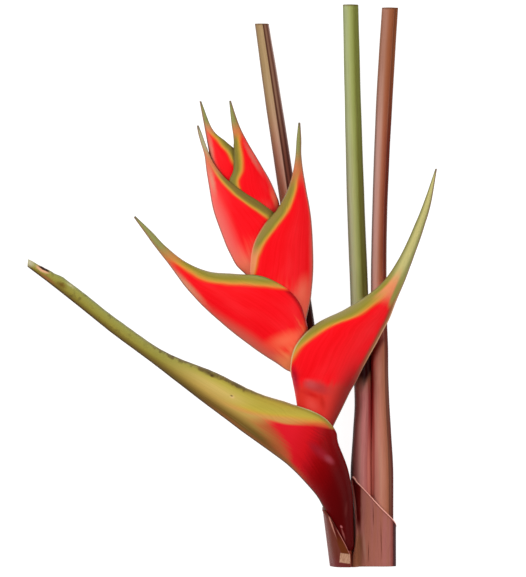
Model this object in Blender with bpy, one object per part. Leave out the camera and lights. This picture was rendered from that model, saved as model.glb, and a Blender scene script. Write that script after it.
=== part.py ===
"""Heliconia flower, cut with three leaf stalks and laid on its back.

X runs across the shoot, Y along it towards the tips, Z up from the surface it lies on.
Sizes are in millimetres up to make_object, which turns them into metres.
"""
import math

import bmesh
import bpy
import numpy as np
from mathutils import Vector
from mathutils.bvhtree import BVHTree

MM = 0.001

# Driving sizes
MIDDLE = (-0.75, 0.5, 0.0)  # middle of the part's foot print, which becomes the origin
CUT_Y = -197.0              # the plane of the knife cut across the foot of the shoot
BRACT_WALL = 0.9            # thickness of a bract's flank
SHEATH_WALL = 1.1           # thickness of a leaf sheath
GAP = 0.3                   # air between neighbours that touch on the plant
LIP_GAP = 0.35              # half the slit between the two lips of a bract
KEEL_POWER = 0.7            # how sharply a bract folds at its keel
LIP_POWER = 0.52            # how fully its flanks round over to the lips
ROUND_POWER = 0.5           # both powers where the section is round, at the base
FOLD_ROWS = 2               # rows over which the round base turns into the folded bract
SLIT_POWER = 6              # how closely the slit's spread keeps to the lips
EDGE_WALL = 0.8             # share of the wall that is left at the keel and the lips
MOST_OF_WIDTH = 0.4         # and never more than this share of the bract's width
STALK_END = 2.5             # length of the stalk's rounded end
STALK_END_WIDTH = 0.6       # width of that end, as a share of the last ring

# Stalk from the cut to its tip: x, y, height, radius
STALK = [
    (81.0, CUT_Y, 21.8, 5.4),
    (78.5, -186.0, 22.8, 5.4),
    (73.8, -152.0, 26.5, 5.2),
    (60.5, -113.0, 29.0, 5.0),
    (57.0, -75.0, 31.0, 4.2),
    (46.5, -46.0, 31.5, 3.5),
    (34.5, -15.0, 31.5, 3.2),
    (24.0, 22.5, 31.5, 2.4),
    (18.0, 34.5, 31.5, 1.6),
]
NODE_ROWS = {1: 1, 2: 3, 3: 4, 4: 5, 5: 6, 6: 7, 7: 8}      # the row where each bract grows

# Ribs of each bract from base to tip: keel x, keel y, lip x, lip y, half depth, height.
# The base itself closes round the stalk. "throat" is the last rib that is a closed tube,
# and "seam" is the rib near the tip where the lips grow together.
BRACTS = {
    1: dict(throat=5, seam=12, ribs=[
        (69.0, -169.0, 84.5, -165.5, 8.0, 24.8),
        (61.1, -150.2, 84.0, -146.0, 10.0, 27.0),
        (50.9, -137.7, 80.5, -127.5, 12.5, 28.5),
        (40.5, -127.0, 74.0, -110.0, 14.2, 30.5),
        (34.0, -121.5, 72.0, -101.0, 15.0, 31.0),
        (21.3, -112.4, 62.0, -90.5, 15.0, 31.0),
        (4.6, -100.2, 40.9, -82.3, 13.5, 30.0),
        (-16.3, -84.6, 16.3, -74.3, 11.0, 27.0),
        (-38.7, -67.6, -13.3, -60.1, 8.5, 22.5),
        (-66.0, -47.1, -48.6, -45.5, 6.0, 16.5),
        (-93.9, -26.2, -83.7, -21.4, 4.5, 11.0),
        (-122.1, -3.5, -115.1, 2.8, 3.5, 6.5),
        (-144.7, 13.6, -144.1, 19.0, 2.5, 2.5),
    ]),
    2: dict(throat=4, seam=13, ribs=[
        (69.5, -101.0, 48.5, -102.5, 9.0, 30.0),
        (76.8, -86.0, 45.5, -85.5, 12.5, 31.0),
        (82.5, -74.0, 43.5, -74.0, 14.0, 31.5),
        (86.5, -67.0, 42.0, -66.5, 14.3, 31.5),
        (91.5, -57.0, 40.5, -56.5, 14.5, 31.5),
        (99.0, -43.5, 44.5, -41.5, 14.5, 31.5),
        (105.5, -31.5, 58.5, -26.5, 13.5, 31.5),
        (110.1, -22.6, 79.0, -16.1, 11.0, 32.0),
        (114.5, -10.5, 97.5, -4.0, 8.0, 32.5),
        (121.2, 4.7, 109.0, 7.5, 5.5, 33.0),
        (128.0, 23.7, 120.0, 26.0, 4.0, 33.5),
        (134.5, 42.3, 128.4, 45.0, 3.0, 34.0),
        (138.9, 57.8, 134.4, 60.3, 2.2, 35.0),
        (143.0, 82.0, 141.8, 82.0, 0.9, 36.0),
    ]),
    3: dict(throat=4, seam=12, ribs=[
        (48.0, -68.0, 63.0, -60.0, 7.5, 31.5),
        (43.0, -61.5, 59.5, -47.5, 10.0, 31.5),
        (37.3, -58.5, 53.5, -36.0, 12.0, 31.5),
        (30.7, -53.9, 52.5, -29.0, 13.5, 31.5),
        (19.6, -47.0, 47.5, -13.0, 14.0, 31.5),
        (4.6, -35.9, 37.0, -1.5, 14.0, 31.5),
        (-8.0, -25.6, 20.5, 6.5, 12.5, 31.5),
        (-20.2, -14.7, 1.5, 8.5, 10.5, 31.5),
        (-32.5, -1.5, -16.8, 10.2, 8.0, 31.0),
        (-43.7, 13.6, -33.3, 17.2, 5.5, 30.5),
        (-53.8, 26.9, -47.5, 28.5, 3.6, 29.5),
        (-61.1, 36.9, -56.5, 38.0, 2.4, 28.5),
        (-69.2, 48.0, -68.2, 49.2, 1.0, 27.0),
    ]),
    4: dict(throat=4, seam=12, ribs=[
        (50.0, -36.0, 34.5, -36.5, 7.0, 31.5),
        (51.5, -24.0, 25.5, -24.5, 9.5, 31.5),
        (54.6, -10.0, 17.5, -11.5, 12.0, 31.5),
        (55.5, -2.5, 14.5, -3.5, 13.0, 31.5),
        (56.5, 10.0, 12.5, 9.5, 13.3, 31.5),
        (56.4, 28.5, 14.5, 27.5, 13.0, 31.5),
        (55.5, 42.5, 21.5, 41.5, 12.0, 31.5),
        (53.9, 55.6, 30.5, 52.5, 10.3, 31.5),
        (51.8, 67.0, 37.5, 65.0, 8.0, 31.5),
        (49.5, 80.0, 41.5, 76.5, 5.6, 32.0),
        (48.2, 91.6, 44.0, 90.4, 3.6, 32.5),
        (48.3, 102.0, 44.7, 102.0, 2.2, 33.0),
        (47.5, 114.3, 46.0, 114.3, 1.0, 33.5),
    ]),
    5: dict(throat=4, seam=11, ribs=[
        (20.5, -5.5, 38.0, 0.5, 6.5, 31.5),
        (10.5, 6.5, 37.0, 17.0, 9.0, 31.5),
        (3.0, 13.7, 36.0, 27.5, 10.5, 31.5),
        (-0.8, 20.4, 34.5, 34.5, 11.0, 31.5),
        (-5.9, 32.2, 31.5, 48.0, 11.0, 31.5),
        (-12.8, 50.7, 20.5, 57.5, 10.3, 31.5),
        (-15.8, 65.0, 8.0, 65.5, 8.8, 31.5),
        (-18.0, 78.7, -4.0, 74.5, 6.5, 31.5),
        (-19.6, 91.1, -13.0, 85.5, 4.3, 31.5),
        (-22.4, 100.6, -17.8, 96.5, 2.9, 32.0),
        (-24.1, 106.9, -20.9, 105.5, 2.0, 32.5),
        (-25.0, 112.3, -23.6, 112.3, 1.0, 33.0),
    ]),
    6: dict(throat=2, seam=9, ribs=[
        (30.5, 34.5, 12.5, 31.5, 5.5, 31.5),
        (31.5, 40.0, 9.5, 37.5, 6.2, 31.5),
        (32.5, 50.5, 4.5, 47.5, 7.5, 31.5),
        (31.5, 58.0, 1.0, 57.5, 8.0, 31.5),
        (30.8, 63.5, -0.5, 65.0, 8.0, 31.5),
        (27.5, 71.4, -2.0, 73.5, 7.6, 31.5),
        (22.0, 81.5, 1.0, 82.5, 6.6, 31.5),
        (10.0, 101.8, 0.9, 101.5, 3.8, 31.5),
        (4.1, 114.1, -0.7, 113.5, 2.2, 31.0),
        (-1.0, 129.7, -2.4, 129.7, 1.0, 30.0),
    ]),
    7: dict(throat=2, seam=7, ribs=[
        (6.5, 43.5, 17.0, 44.5, 3.4, 31.5),
        (1.0, 54.5, 14.0, 58.0, 4.4, 31.5),
        (-5.0, 66.0, 10.5, 70.5, 5.2, 31.5),
        (-11.0, 76.5, 7.5, 83.5, 5.6, 31.5),
        (-15.0, 86.0, 3.0, 94.0, 5.0, 31.5),
        (-17.0, 96.0, -4.5, 101.0, 4.0, 31.5),
        (-19.5, 110.0, -14.0, 110.0, 2.2, 32.0),
        (-23.1, 129.3, -21.8, 129.3, 0.9, 32.5),
    ]),
}

# Leaf stalks from the cut to the top: x, y, height, half width, half height
PETIOLES = {
    "petiole_left": [
        (75.6, CUT_Y, 8.9, 5.8, 7.0),
        (70.3, -150.5, 8.9, 6.1, 7.1),
        (61.0, -94.5, 8.6, 6.4, 7.0),
        (50.0, -17.0, 8.4, 6.2, 6.9),
        (38.0, 67.5, 9.0, 6.0, 6.7),
        (28.5, 131.0, 9.5, 5.8, 6.4),
        (20.5, 184.5, 9.5, 5.0, 6.0),
    ],
    "petiole_centre": [
        (90.4, CUT_Y, 9.5, 7.0, 7.6),
        (90.2, -150.5, 9.5, 7.0, 7.6),
        (90.0, -129.5, 9.0, 7.0, 7.5),
        (91.0, -101.5, 8.5, 6.3, 7.3),
        (91.6, -80.0, 8.3, 5.8, 7.2),
        (90.2, -45.0, 8.1, 6.3, 7.1),
        (89.0, -3.0, 8.0, 6.4, 7.0),
        (86.5, 60.5, 8.2, 6.2, 6.8),
        (84.5, 131.0, 8.2, 5.8, 6.5),
        (83.0, 198.0, 7.8, 5.5, 6.2),
    ],
    "petiole_right": [
        (105.6, CUT_Y, 9.4, 7.7, 7.6),
        (105.5, -164.5, 9.4, 7.8, 7.6),
        (105.4, -129.5, 8.9, 7.8, 7.4),
        (104.8, -101.5, 8.5, 6.9, 7.3),
        (104.1, -80.0, 8.4, 6.3, 7.2),
        (103.5, -45.0, 8.2, 5.8, 6.9),
        (102.8, 4.0, 7.9, 5.6, 6.5),
        (103.8, 60.5, 7.3, 5.4, 6.1),
        (106.8, 131.0, 6.4, 5.8, 5.8),
        (110.8, 196.0, 5.27, 5.8, 5.4),
    ],
}
PETIOLE_SIDES = 14
GROOVE_AT = {"petiole_left": 1.35, "petiole_centre": 0.85, "petiole_right": 0.75}
GROOVE_DEPTH = 0.16         # of the half width
GROOVE_SPREAD = 0.3         # half angle of the groove, in radians

# The two sheaths, column by column from the front margin round the outside and under the
# leaf stalks: x, y, height at the upper margin, then x and height at the cut
SHEATH_RIGHT = [
    (85.2, -189.0, 27.6, 84.2, 27.9),
    (87.1, -178.0, 24.8, 86.5, 26.2),
    (87.0, -162.0, 20.8, 88.0, 22.8),
    (85.6, -146.0, 17.6, 88.9, 19.8),
    (84.2, -134.0, 15.4, 91.0, 18.9),
    (87.5, -137.5, 18.4, 94.0, 18.7),
    (91.5, -141.5, 18.9, 97.0, 18.3),
    (97.5, -148.0, 18.2, 100.5, 18.4),
    (103.0, -154.0, 18.7, 104.0, 18.8),
    (107.5, -158.5, 18.5, 108.0, 18.5),
    (111.5, -162.5, 16.6, 111.8, 16.6),
    (114.2, -166.0, 13.2, 114.2, 13.2),
    (115.0, -168.0, 9.0, 115.0, 9.0),
    (114.2, -169.0, 4.8, 114.2, 4.8),
    (111.8, -170.0, 1.4, 111.8, 1.4),
    (108.0, -170.0, 0.0, 108.0, 0.0),
    (99.5, -170.0, 0.0, 99.5, 0.0),
    (93.0, -168.0, 0.2, 93.0, 0.2),
    (88.0, -166.0, 0.7, 88.0, 0.7),
]
SHEATH_LEFT = [
    (82.2, -188.0, 31.2, 82.8, 29.1),
    (79.3, -181.5, 32.4, 80.2, 29.5),
    (74.4, -172.5, 33.4, 76.8, 29.2),
    (69.5, -164.5, 33.0, 73.8, 27.5),
    (65.8, -159.5, 30.8, 71.6, 24.2),
    (64.0, -157.0, 26.5, 70.1, 19.5),
    (63.3, -156.0, 20.5, 69.0, 14.5),
    (63.1, -155.5, 12.5, 68.3, 9.5),
    (64.0, -156.0, 6.0, 68.8, 5.0),
    (66.8, -158.0, 1.8, 70.8, 1.6),
    (71.0, -160.0, 0.5, 74.5, 0.4),
    (75.5, -162.0, 0.6, 79.0, 0.5),
]
SHEATH_ROWS = 9
RIGHT_CENTRE = (96.0, 0.0, 9.0)     # a point on the line that each sheath wraps round
LEFT_CENTRE = (74.0, 0.0, 14.0)

# How neighbours are kept apart
FEELER = 1.5                # how far round a point the pieces inside are felt
RAY_START = 200.0           # height from which they are felt
EASE = 0.85                 # share of a lift that carries over to the points beside it
NUDGE = 0.2                 # one small step outwards
NUDGE_ALONG = 0.6           # share of it for the next station
NUDGE_ROUND = 0.5           # share of it for the next point of the same station
MOST_NUDGES = 120
NUDGE_CLEAR = 0.6           # share of the gap that the small steps make sure of

# Mesh fineness
BASE_STEPS = 6              # stations along a bract's tube
MOUTH_STEPS = 12            # along its open boat
TIP_STEPS = 3               # along its closed tip
CROWDING = 1.2              # above 1 the stations crowd towards the throat
FLANK_STEPS = 6             # points from keel to lip
SHARP_ANGLE = math.radians(50)
STALK_SIDES = 12
STALK_STEPS = 25            # rings along the stalk
PETIOLE_FINER = 2           # rings of a leaf stalk for each of its rows

# Colours and roughness
MATERIALS = {
    "bract": ((0.42, 0.03, 0.02, 1.0), 0.35),
    "stalk": ((0.40, 0.12, 0.04, 1.0), 0.5),
    "petiole_left": ((0.20, 0.12, 0.06, 1.0), 0.45),
    "petiole_centre": ((0.16, 0.22, 0.05, 1.0), 0.4),
    "petiole_right": ((0.22, 0.07, 0.04, 1.0), 0.45),
    "sheath_right": ((0.25, 0.10, 0.09, 1.0), 0.45),
    "sheath_left": ((0.28, 0.12, 0.10, 1.0), 0.45),
}


def clear_scene():
    """Removes whatever the scene starts with."""
    for item in list(bpy.data.objects):
        bpy.data.objects.remove(item, do_unlink=True)


def smooth_through(rows, at):
    """Reads a smooth curve through rows of numbers at the given row positions."""
    rows = np.asarray(rows, dtype=float)
    at = np.asarray(at, dtype=float)
    last = len(rows) - 1
    low = np.clip(np.floor(at).astype(int), 0, last - 1)
    part = (at - low)[:, None]
    slope = np.empty_like(rows)
    slope[1:-1] = (rows[2:] - rows[:-2]) / 2
    slope[0] = rows[1] - rows[0]
    slope[-1] = rows[-1] - rows[-2]
    start, end = rows[low], rows[low + 1]
    rise, fall = slope[low], slope[low + 1]
    squared, cubed = part ** 2, part ** 3
    return ((2 * cubed - 3 * squared + 1) * start + (cubed - 2 * squared + part) * rise
            + (3 * squared - 2 * cubed) * end + (cubed - squared) * fall)


def quad(a, b, c, d):
    """Two triangles that share the edge from a to c, or one where two corners are the same."""
    return [face for face in ((a, b, c), (a, c, d)) if len(set(face)) == 3]


def tree_of(points, faces, swell=0.0):
    """Search tree of a solid, swollen along its normals by the given distance."""
    mesh = bmesh.new()
    corners = [mesh.verts.new(point) for point in points]
    for face in faces:
        mesh.faces.new([corners[index] for index in face])
    mesh.normal_update()
    moved = [Vector(corner.co) + corner.normal * swell for corner in corners]
    mesh.free()
    return BVHTree.FromPolygons(moved, faces)


def outward(points, faces):
    """Turns a closed surface's faces so that they point out."""
    points = np.asarray(points)
    corner = points[np.asarray(faces)]
    volume = np.einsum("ij,ij->i", corner[:, 0], np.cross(corner[:, 1], corner[:, 2])).sum()
    return faces if volume > 0 else [face[::-1] for face in faces]


def make_object(name, points, faces, material):
    """Makes one named solid, in metres, shaded smooth except at its real edges."""
    mesh = bpy.data.meshes.new(name)
    placed = (np.asarray(points) - MIDDLE) * MM
    mesh.from_pydata([tuple(map(float, point)) for point in placed], [], faces)
    mesh.shade_smooth()
    mesh.set_sharp_from_angle(angle=SHARP_ANGLE)
    mesh.materials.append(material)
    item = bpy.data.objects.new(name, mesh)
    bpy.context.collection.objects.link(item)
    return item


def make_material(name, colour, roughness):
    """A Principled material of one colour."""
    material = bpy.data.materials.new(name)
    material.use_nodes = True
    shader = material.node_tree.nodes["Principled BSDF"]
    shader.inputs["Base Color"].default_value = colour
    shader.inputs["Roughness"].default_value = roughness
    return material


def base_rib(node, keel_side):
    """The rib where a bract closes round the stalk, square to the stalk."""
    here, before = np.array(STALK[node]), np.array(STALK[node - 1])
    after = np.array(STALK[min(node + 1, len(STALK) - 1)])
    along = after[:2] - before[:2]
    across = np.array([along[1], -along[0]]) / np.linalg.norm(along) * keel_side
    bore = (here[3] + GAP) / math.cos(math.pi / (2 * FLANK_STEPS))
    reach = bore + BRACT_WALL
    keel = here[:2] + across * reach
    lip = here[:2] - across * reach
    return (*keel, *lip, reach, here[2])


def bract_stations(bract, ribs):
    """Row positions of the stations along a bract, with one on the throat and one on the seam."""
    base = np.linspace(0, bract["throat"], BASE_STEPS + 1)
    part = np.linspace(0, 1, MOUTH_STEPS + 1) ** CROWDING
    mouth = bract["throat"] + (bract["seam"] - bract["throat"]) * part
    tip = np.linspace(bract["seam"], len(ribs) - 1, TIP_STEPS + 1)
    return np.concatenate([base, mouth[1:], tip[1:]])


def bract_section(rib, keel_power, lip_power, is_open):
    """Outer and inner points of one cross section, from the front lip round the keel to the back lip.

    The third result is the direction in which each point moves when the section spreads.
    """
    keel, lip, depth, height = rib[0:2], rib[2:4], rib[4], rib[5]
    width = np.linalg.norm(lip - keel)
    turn = np.linspace(0, math.pi, FLANK_STEPS + 1)
    share = (1 + np.cos(turn)) / 2
    peak = keel_power / (keel_power + lip_power)
    top = peak ** keel_power * (1 - peak) ** lip_power
    swell = depth * share ** keel_power * (1 - share) ** lip_power / top
    if is_open:
        swell = swell + (LIP_GAP + BRACT_WALL) * share ** SLIT_POWER
    across = share * width
    flow = np.gradient(across), np.gradient(swell)
    normal = np.stack([flow[1], -flow[0]], axis=1)
    normal /= np.linalg.norm(normal, axis=1)[:, None]
    normal[-1] = (-1, 0)
    normal[0] = (0, 1) if is_open else (1, 0)
    inner = np.stack([across, swell], axis=1) - normal * BRACT_WALL
    wall = BRACT_WALL * EDGE_WALL
    near_keel = min(wall, width * MOST_OF_WIDTH)
    inner[:, 0] = np.clip(inner[:, 0], near_keel, width if is_open else width - wall)
    inner[1:-1, 1] = np.maximum(inner[1:-1, 1], LIP_GAP)
    inner[-1, 1] = 0
    front = lift(keel, lip, across, swell, height)
    back = lift(keel, lip, across, -swell, height)
    front_in = lift(keel, lip, inner[:, 0], inner[:, 1], height)
    back_in = lift(keel, lip, inner[:, 0], -inner[:, 1], height)
    way = (lip - keel) / width
    front_way = np.column_stack([normal[:, :1] * way, normal[:, 1]])
    back_way = front_way * (1, 1, -1)
    join = [np.concatenate([one, other[-2::-1]]) for one, other in
            ((front, back), (front_in, back_in), (front_way, back_way))]
    return join


def lift(keel, lip, across, rise, height):
    """Places points of a section in space from their distance to the keel and to the mid plane."""
    way = (lip - keel) / np.linalg.norm(lip - keel)
    flat = keel + np.outer(across, way)
    return np.column_stack([flat, height + rise])


def bract_grids(number):
    """Outer grid, inner grid, spreading directions and the open stations of one bract."""
    bract = BRACTS[number]
    keel_side = -1 if number % 2 else 1
    ribs = [base_rib(NODE_ROWS[number], keel_side)] + bract["ribs"]
    places = bract_stations(bract, ribs)
    rows = smooth_through(ribs, places)
    throat, seam = BASE_STEPS, BASE_STEPS + MOUTH_STEPS
    grids = [[], [], []]
    for index, row in enumerate(rows):
        folded = min(1.0, places[index] / FOLD_ROWS)
        keel_power = ROUND_POWER + (KEEL_POWER - ROUND_POWER) * folded
        lip_power = ROUND_POWER + (LIP_POWER - ROUND_POWER) * folded
        section = bract_section(row, keel_power, lip_power, throat < index < seam)
        for grid, points in zip(grids, section):
            grid.append(points)
    outer, inner, ways = [np.array(grid) for grid in grids]
    return outer, inner, ways, throat, seam


def bract_faces(stations, throat, seam):
    """Triangles of a bract: outer wall, inner wall, lips, base ring, seam and tip."""
    around = 2 * FLANK_STEPS
    faces = []

    def outer(i, j):
        return i * (around + 1) + (j % around if i <= throat or i >= seam else j)

    def inner(i, j):
        return stations * (around + 1) + outer(i, j)

    for i in range(stations - 1):
        for j in range(around):
            faces += quad(outer(i, j), outer(i + 1, j), outer(i + 1, j + 1), outer(i, j + 1))
    for i in range(seam):
        for j in range(around):
            flipped = quad(inner(i, j), inner(i + 1, j), inner(i + 1, j + 1), inner(i, j + 1))
            faces += [face[::-1] for face in flipped]
    for i in range(throat, seam):
        faces += quad(outer(i, 0), inner(i, 0), inner(i + 1, 0), outer(i + 1, 0))
        faces += quad(outer(i, around), outer(i + 1, around), inner(i + 1, around), inner(i, around))
    for j in range(around):
        faces += quad(outer(0, j), outer(0, j + 1), inner(0, j + 1), inner(0, j))
    seam_middle = 2 * stations * (around + 1)
    tip_middle = seam_middle + 1
    for j in range(around):
        faces.append((inner(seam, j), inner(seam, j + 1), seam_middle))
        faces.append((outer(stations - 1, j), tip_middle, outer(stations - 1, j + 1)))
    return faces


def solid_from_grids(outer, inner, faces, extra):
    """Drops unused grid points and returns the solid's points and faces."""
    points = np.concatenate([outer.reshape(-1, 3), inner.reshape(-1, 3), extra])
    used = sorted({index for face in faces for index in face})
    place = {old: new for new, old in enumerate(used)}
    faces = [tuple(place[index] for index in face) for face in faces]
    return points[used], outward(points[used], faces)


def height_over(trees, x, y, side):
    """How far the solids reach above (side 1) or below (side -1) a spot, or None."""
    best = None
    for tree in trees:
        hit = tree.ray_cast(Vector((x, y, RAY_START * side)), Vector((0, 0, -side)))[0]
        if hit is not None and (best is None or hit.z * side > best * side):
            best = hit.z
    return best


def spread_over(outer, inner, trees, throat, seam):
    """Lifts a bract's flanks off whatever it holds, straight up and straight down."""
    need = np.zeros(outer.shape[:2])
    around = ((0, 0), (FEELER, 0), (-FEELER, 0), (0, FEELER), (0, -FEELER))
    for i in range(1, seam):
        is_open = throat < i < seam
        for j in range(outer.shape[1]):
            at_lip = j in (0, outer.shape[1] - 1)
            if j == FLANK_STEPS or (at_lip and not is_open):
                continue
            side = 1 if j < FLANK_STEPS else -1
            x, y, z = inner[i, j]
            for dx, dy in around:
                top = height_over(trees, x + dx, y + dy, side)
                if top is not None:
                    need[i, j] = max(need[i, j], (top - z) * side + GAP)
    for _ in range(2):
        beside = (need[:-2, 1:-1] + need[2:, 1:-1]) / 2 * EASE
        need[1:-1, 1:-1] = np.maximum(need[1:-1, 1:-1], beside)
    need[:, FLANK_STEPS] = 0
    shift = need.copy()
    shift[:, FLANK_STEPS + 1:] *= -1
    outer[:, :, 2] += shift
    inner[:, :, 2] += shift


def work_free(outer, inner, ways, faces, extra, trees, fixed_rows=0):
    """Moves the points of faces that still touch a neighbour outwards in small steps."""
    columns = outer.shape[1]
    count = outer.shape[0] * columns
    for _ in range(MOST_NUDGES):
        points = np.concatenate([outer.reshape(-1, 3), inner.reshape(-1, 3), extra])
        own = BVHTree.FromPolygons([Vector(point) for point in points], faces)
        touched = {index for tree in trees for pair in own.overlap(tree) for index in faces[pair[0]]}
        spots = {divmod(index % count, columns) for index in touched if index < 2 * count}
        if not spots:
            return True
        push = np.zeros(outer.shape[:2])
        for i, j in spots:
            push[i, j] = NUDGE
        near = push.copy()
        near[1:] = np.maximum(near[1:], push[:-1] * NUDGE_ALONG)
        near[:-1] = np.maximum(near[:-1], push[1:] * NUDGE_ALONG)
        near[:, 1:] = np.maximum(near[:, 1:], push[:, :-1] * NUDGE_ROUND)
        near[:, :-1] = np.maximum(near[:, :-1], push[:, 1:] * NUDGE_ROUND)
        near[:fixed_rows] = 0
        outer += ways * near[:, :, None]
        inner += ways * near[:, :, None]
    return False


def build_bract(number, held):
    """Builds one bract round the solids that it holds."""
    outer, inner, ways, throat, seam = bract_grids(number)
    stations = len(outer)
    plain = [tree_of(*solid) for solid in held]
    spread_over(outer, inner, plain, throat, seam)
    faces = bract_faces(stations, throat, seam)
    extra = np.array([inner[seam].mean(axis=0), outer[-1].mean(axis=0)])
    swollen = [tree_of(*solid, swell=GAP * NUDGE_CLEAR) for solid in held]
    if not work_free(outer, inner, ways, faces, extra, swollen, fixed_rows=1):
        print("bract", number, "still touches what it holds")
    return solid_from_grids(outer, inner, faces, extra)


def build_tube(rows, sides, steps, groove_at=None):
    """A solid rod through rows of x, y, height, half width, half height, cut square to Y."""
    places = np.linspace(0, len(rows) - 1, steps)
    rings = []
    turn = np.linspace(0, 2 * math.pi, sides, endpoint=False)
    for x, y, z, wide, high in smooth_through(rows, places):
        dip = np.ones(sides)
        if groove_at is not None:
            off = (turn - groove_at + math.pi) % (2 * math.pi) - math.pi
            dip = 1 - GROOVE_DEPTH * np.exp(-(off / GROOVE_SPREAD) ** 2)
        ring = np.column_stack([x + wide * np.cos(turn) * dip, np.full(sides, y),
                                z + high * np.sin(turn) * dip])
        rings.append(ring)
    return skin_rings(np.array(rings))


def skin_rings(rings):
    """Closes a stack of rings into a rod with flat ends."""
    steps, sides = rings.shape[:2]
    faces = []
    for i in range(steps - 1):
        for j in range(sides):
            k = (j + 1) % sides
            faces += quad(i * sides + j, (i + 1) * sides + j, (i + 1) * sides + k, i * sides + k)
    low, high = steps * sides, steps * sides + 1
    for j in range(sides):
        k = (j + 1) % sides
        faces.append((j, k, low))
        faces.append(((steps - 1) * sides + k, (steps - 1) * sides + j, high))
    points = np.concatenate([rings.reshape(-1, 3), [rings[0].mean(axis=0), rings[-1].mean(axis=0)]])
    return points, outward(points, faces)


def build_stalk():
    """The flower stalk, with its rings square to its own path."""
    places = np.linspace(0, len(STALK) - 1, STALK_STEPS)
    rows = smooth_through(STALK, places)
    turn = np.linspace(0, 2 * math.pi, STALK_SIDES, endpoint=False)
    rings = []
    for index, (x, y, z, radius) in enumerate(rows):
        along = rows[min(index + 1, len(rows) - 1), :2] - rows[max(index - 1, 0), :2]
        across = np.array([along[1], -along[0]]) / np.linalg.norm(along)
        if index == 0:
            across = np.array([1.0, 0.0])
        flat = np.array([x, y]) + np.outer(np.cos(turn) * radius, across)
        rings.append(np.column_stack([flat, z + radius * np.sin(turn)]))
    middle = rings[-1].mean(axis=0)
    end = middle + (rings[-1] - middle) * STALK_END_WIDTH
    tip_way = np.append(rows[-1, :2] - rows[-2, :2], 0)
    rings.append(end + tip_way / np.linalg.norm(tip_way) * STALK_END)
    return skin_rings(np.array(rings))


def sheath_grid(columns):
    """Outer grid of a sheath from its upper margin down to the cut."""
    columns = np.array(columns)
    top = columns[:, :3]
    foot = np.column_stack([columns[:, 3], np.full(len(columns), CUT_Y), columns[:, 4]])
    return np.array([top * (1 - part) + foot * part for part in np.linspace(0, 1, SHEATH_ROWS)])


def grid_normals(grid, centre):
    """Unit normals of a grid that point away from a centre line along Y."""
    normal = np.cross(np.gradient(grid, axis=0), np.gradient(grid, axis=1))
    normal /= np.linalg.norm(normal, axis=2)[:, :, None]
    away = grid - np.array(centre)
    flip = np.sign((normal * away)[:, :, [0, 2]].sum(axis=2).sum())
    return normal * flip


def build_sheath(columns, centre, held):
    """A thin curved sheet wrapped round leaf stalks and cleared of what it holds."""
    outer = sheath_grid(columns)
    ways = grid_normals(outer, centre)
    inner = outer - ways * SHEATH_WALL
    inner[:, :, 1] = outer[:, :, 1]
    rows, wide = outer.shape[:2]
    count = rows * wide
    faces = []
    for i in range(rows - 1):
        for j in range(wide - 1):
            a, b = i * wide + j, (i + 1) * wide + j
            faces += quad(a, b, b + 1, a + 1)
            faces += [face[::-1] for face in quad(count + a, count + b, count + b + 1, count + a + 1)]
    loop = [(0, j) for j in range(wide)] + [(i, wide - 1) for i in range(1, rows)]
    loop += [(rows - 1, j) for j in range(wide - 2, -1, -1)] + [(i, 0) for i in range(rows - 2, 0, -1)]
    edge = [i * wide + j for i, j in loop]
    for here, after in zip(edge, edge[1:] + edge[:1]):
        faces += quad(here, after, count + after, count + here)
    ways[:, :, 1] = 0
    swollen = [tree_of(*solid, swell=GAP * NUDGE_CLEAR) for solid in held]
    if not work_free(outer, inner, ways, faces, np.empty((0, 3)), swollen):
        print("a sheath still touches what it holds")
    return solid_from_grids(outer, inner, faces, np.empty((0, 3)))


def main():
    """Builds every node from the inside out."""
    clear_scene()
    shades = {name: make_material(name, *look) for name, look in MATERIALS.items()}
    stalk = build_stalk()
    make_object("stalk", *stalk, shades["stalk"])
    held = [stalk]
    for number in sorted(BRACTS, reverse=True):
        bract = build_bract(number, held)
        held.append(bract)
        make_object("bract_%d" % number, *bract, shades["bract"])
    petioles = {}
    for name, rows in PETIOLES.items():
        petioles[name] = build_tube(rows, PETIOLE_SIDES, PETIOLE_FINER * len(rows), GROOVE_AT[name])
        make_object(name, *petioles[name], shades[name])
    right = build_sheath(SHEATH_RIGHT, RIGHT_CENTRE,
                         [petioles["petiole_centre"], petioles["petiole_right"], held[-1], stalk])
    make_object("sheath_right", *right, shades["sheath_right"])
    left = build_sheath(SHEATH_LEFT, LEFT_CENTRE,
                        [petioles["petiole_left"], petioles["petiole_centre"], held[-1], stalk, right])
    make_object("sheath_left", *left, shades["sheath_left"])


main()
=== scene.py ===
"""Dresses the heliconia flower: finer pieces, materials, floor, light and camera.

X runs across the shoot, Y along it towards the tips, Z up from the surface it lies on.
Sizes are in millimetres up to make_piece, which turns them into metres.
"""

import functools
import math

import bpy
import numpy as np
from numpy.linalg import norm
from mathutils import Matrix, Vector, noise
from mathutils.bvhtree import BVHTree


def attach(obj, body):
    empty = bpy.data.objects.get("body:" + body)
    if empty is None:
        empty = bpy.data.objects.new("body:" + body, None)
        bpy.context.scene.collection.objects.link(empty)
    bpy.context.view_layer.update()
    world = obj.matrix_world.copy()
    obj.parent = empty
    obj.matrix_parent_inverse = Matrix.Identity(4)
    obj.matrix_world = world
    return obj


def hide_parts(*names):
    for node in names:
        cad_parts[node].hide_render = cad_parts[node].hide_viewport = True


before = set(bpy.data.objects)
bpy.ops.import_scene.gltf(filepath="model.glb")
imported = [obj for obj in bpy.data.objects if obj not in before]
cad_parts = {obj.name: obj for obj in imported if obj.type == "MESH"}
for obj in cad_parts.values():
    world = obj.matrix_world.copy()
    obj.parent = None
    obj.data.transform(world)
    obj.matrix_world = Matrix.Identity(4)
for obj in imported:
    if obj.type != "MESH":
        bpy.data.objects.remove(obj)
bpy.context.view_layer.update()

MM = 0.001

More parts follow.
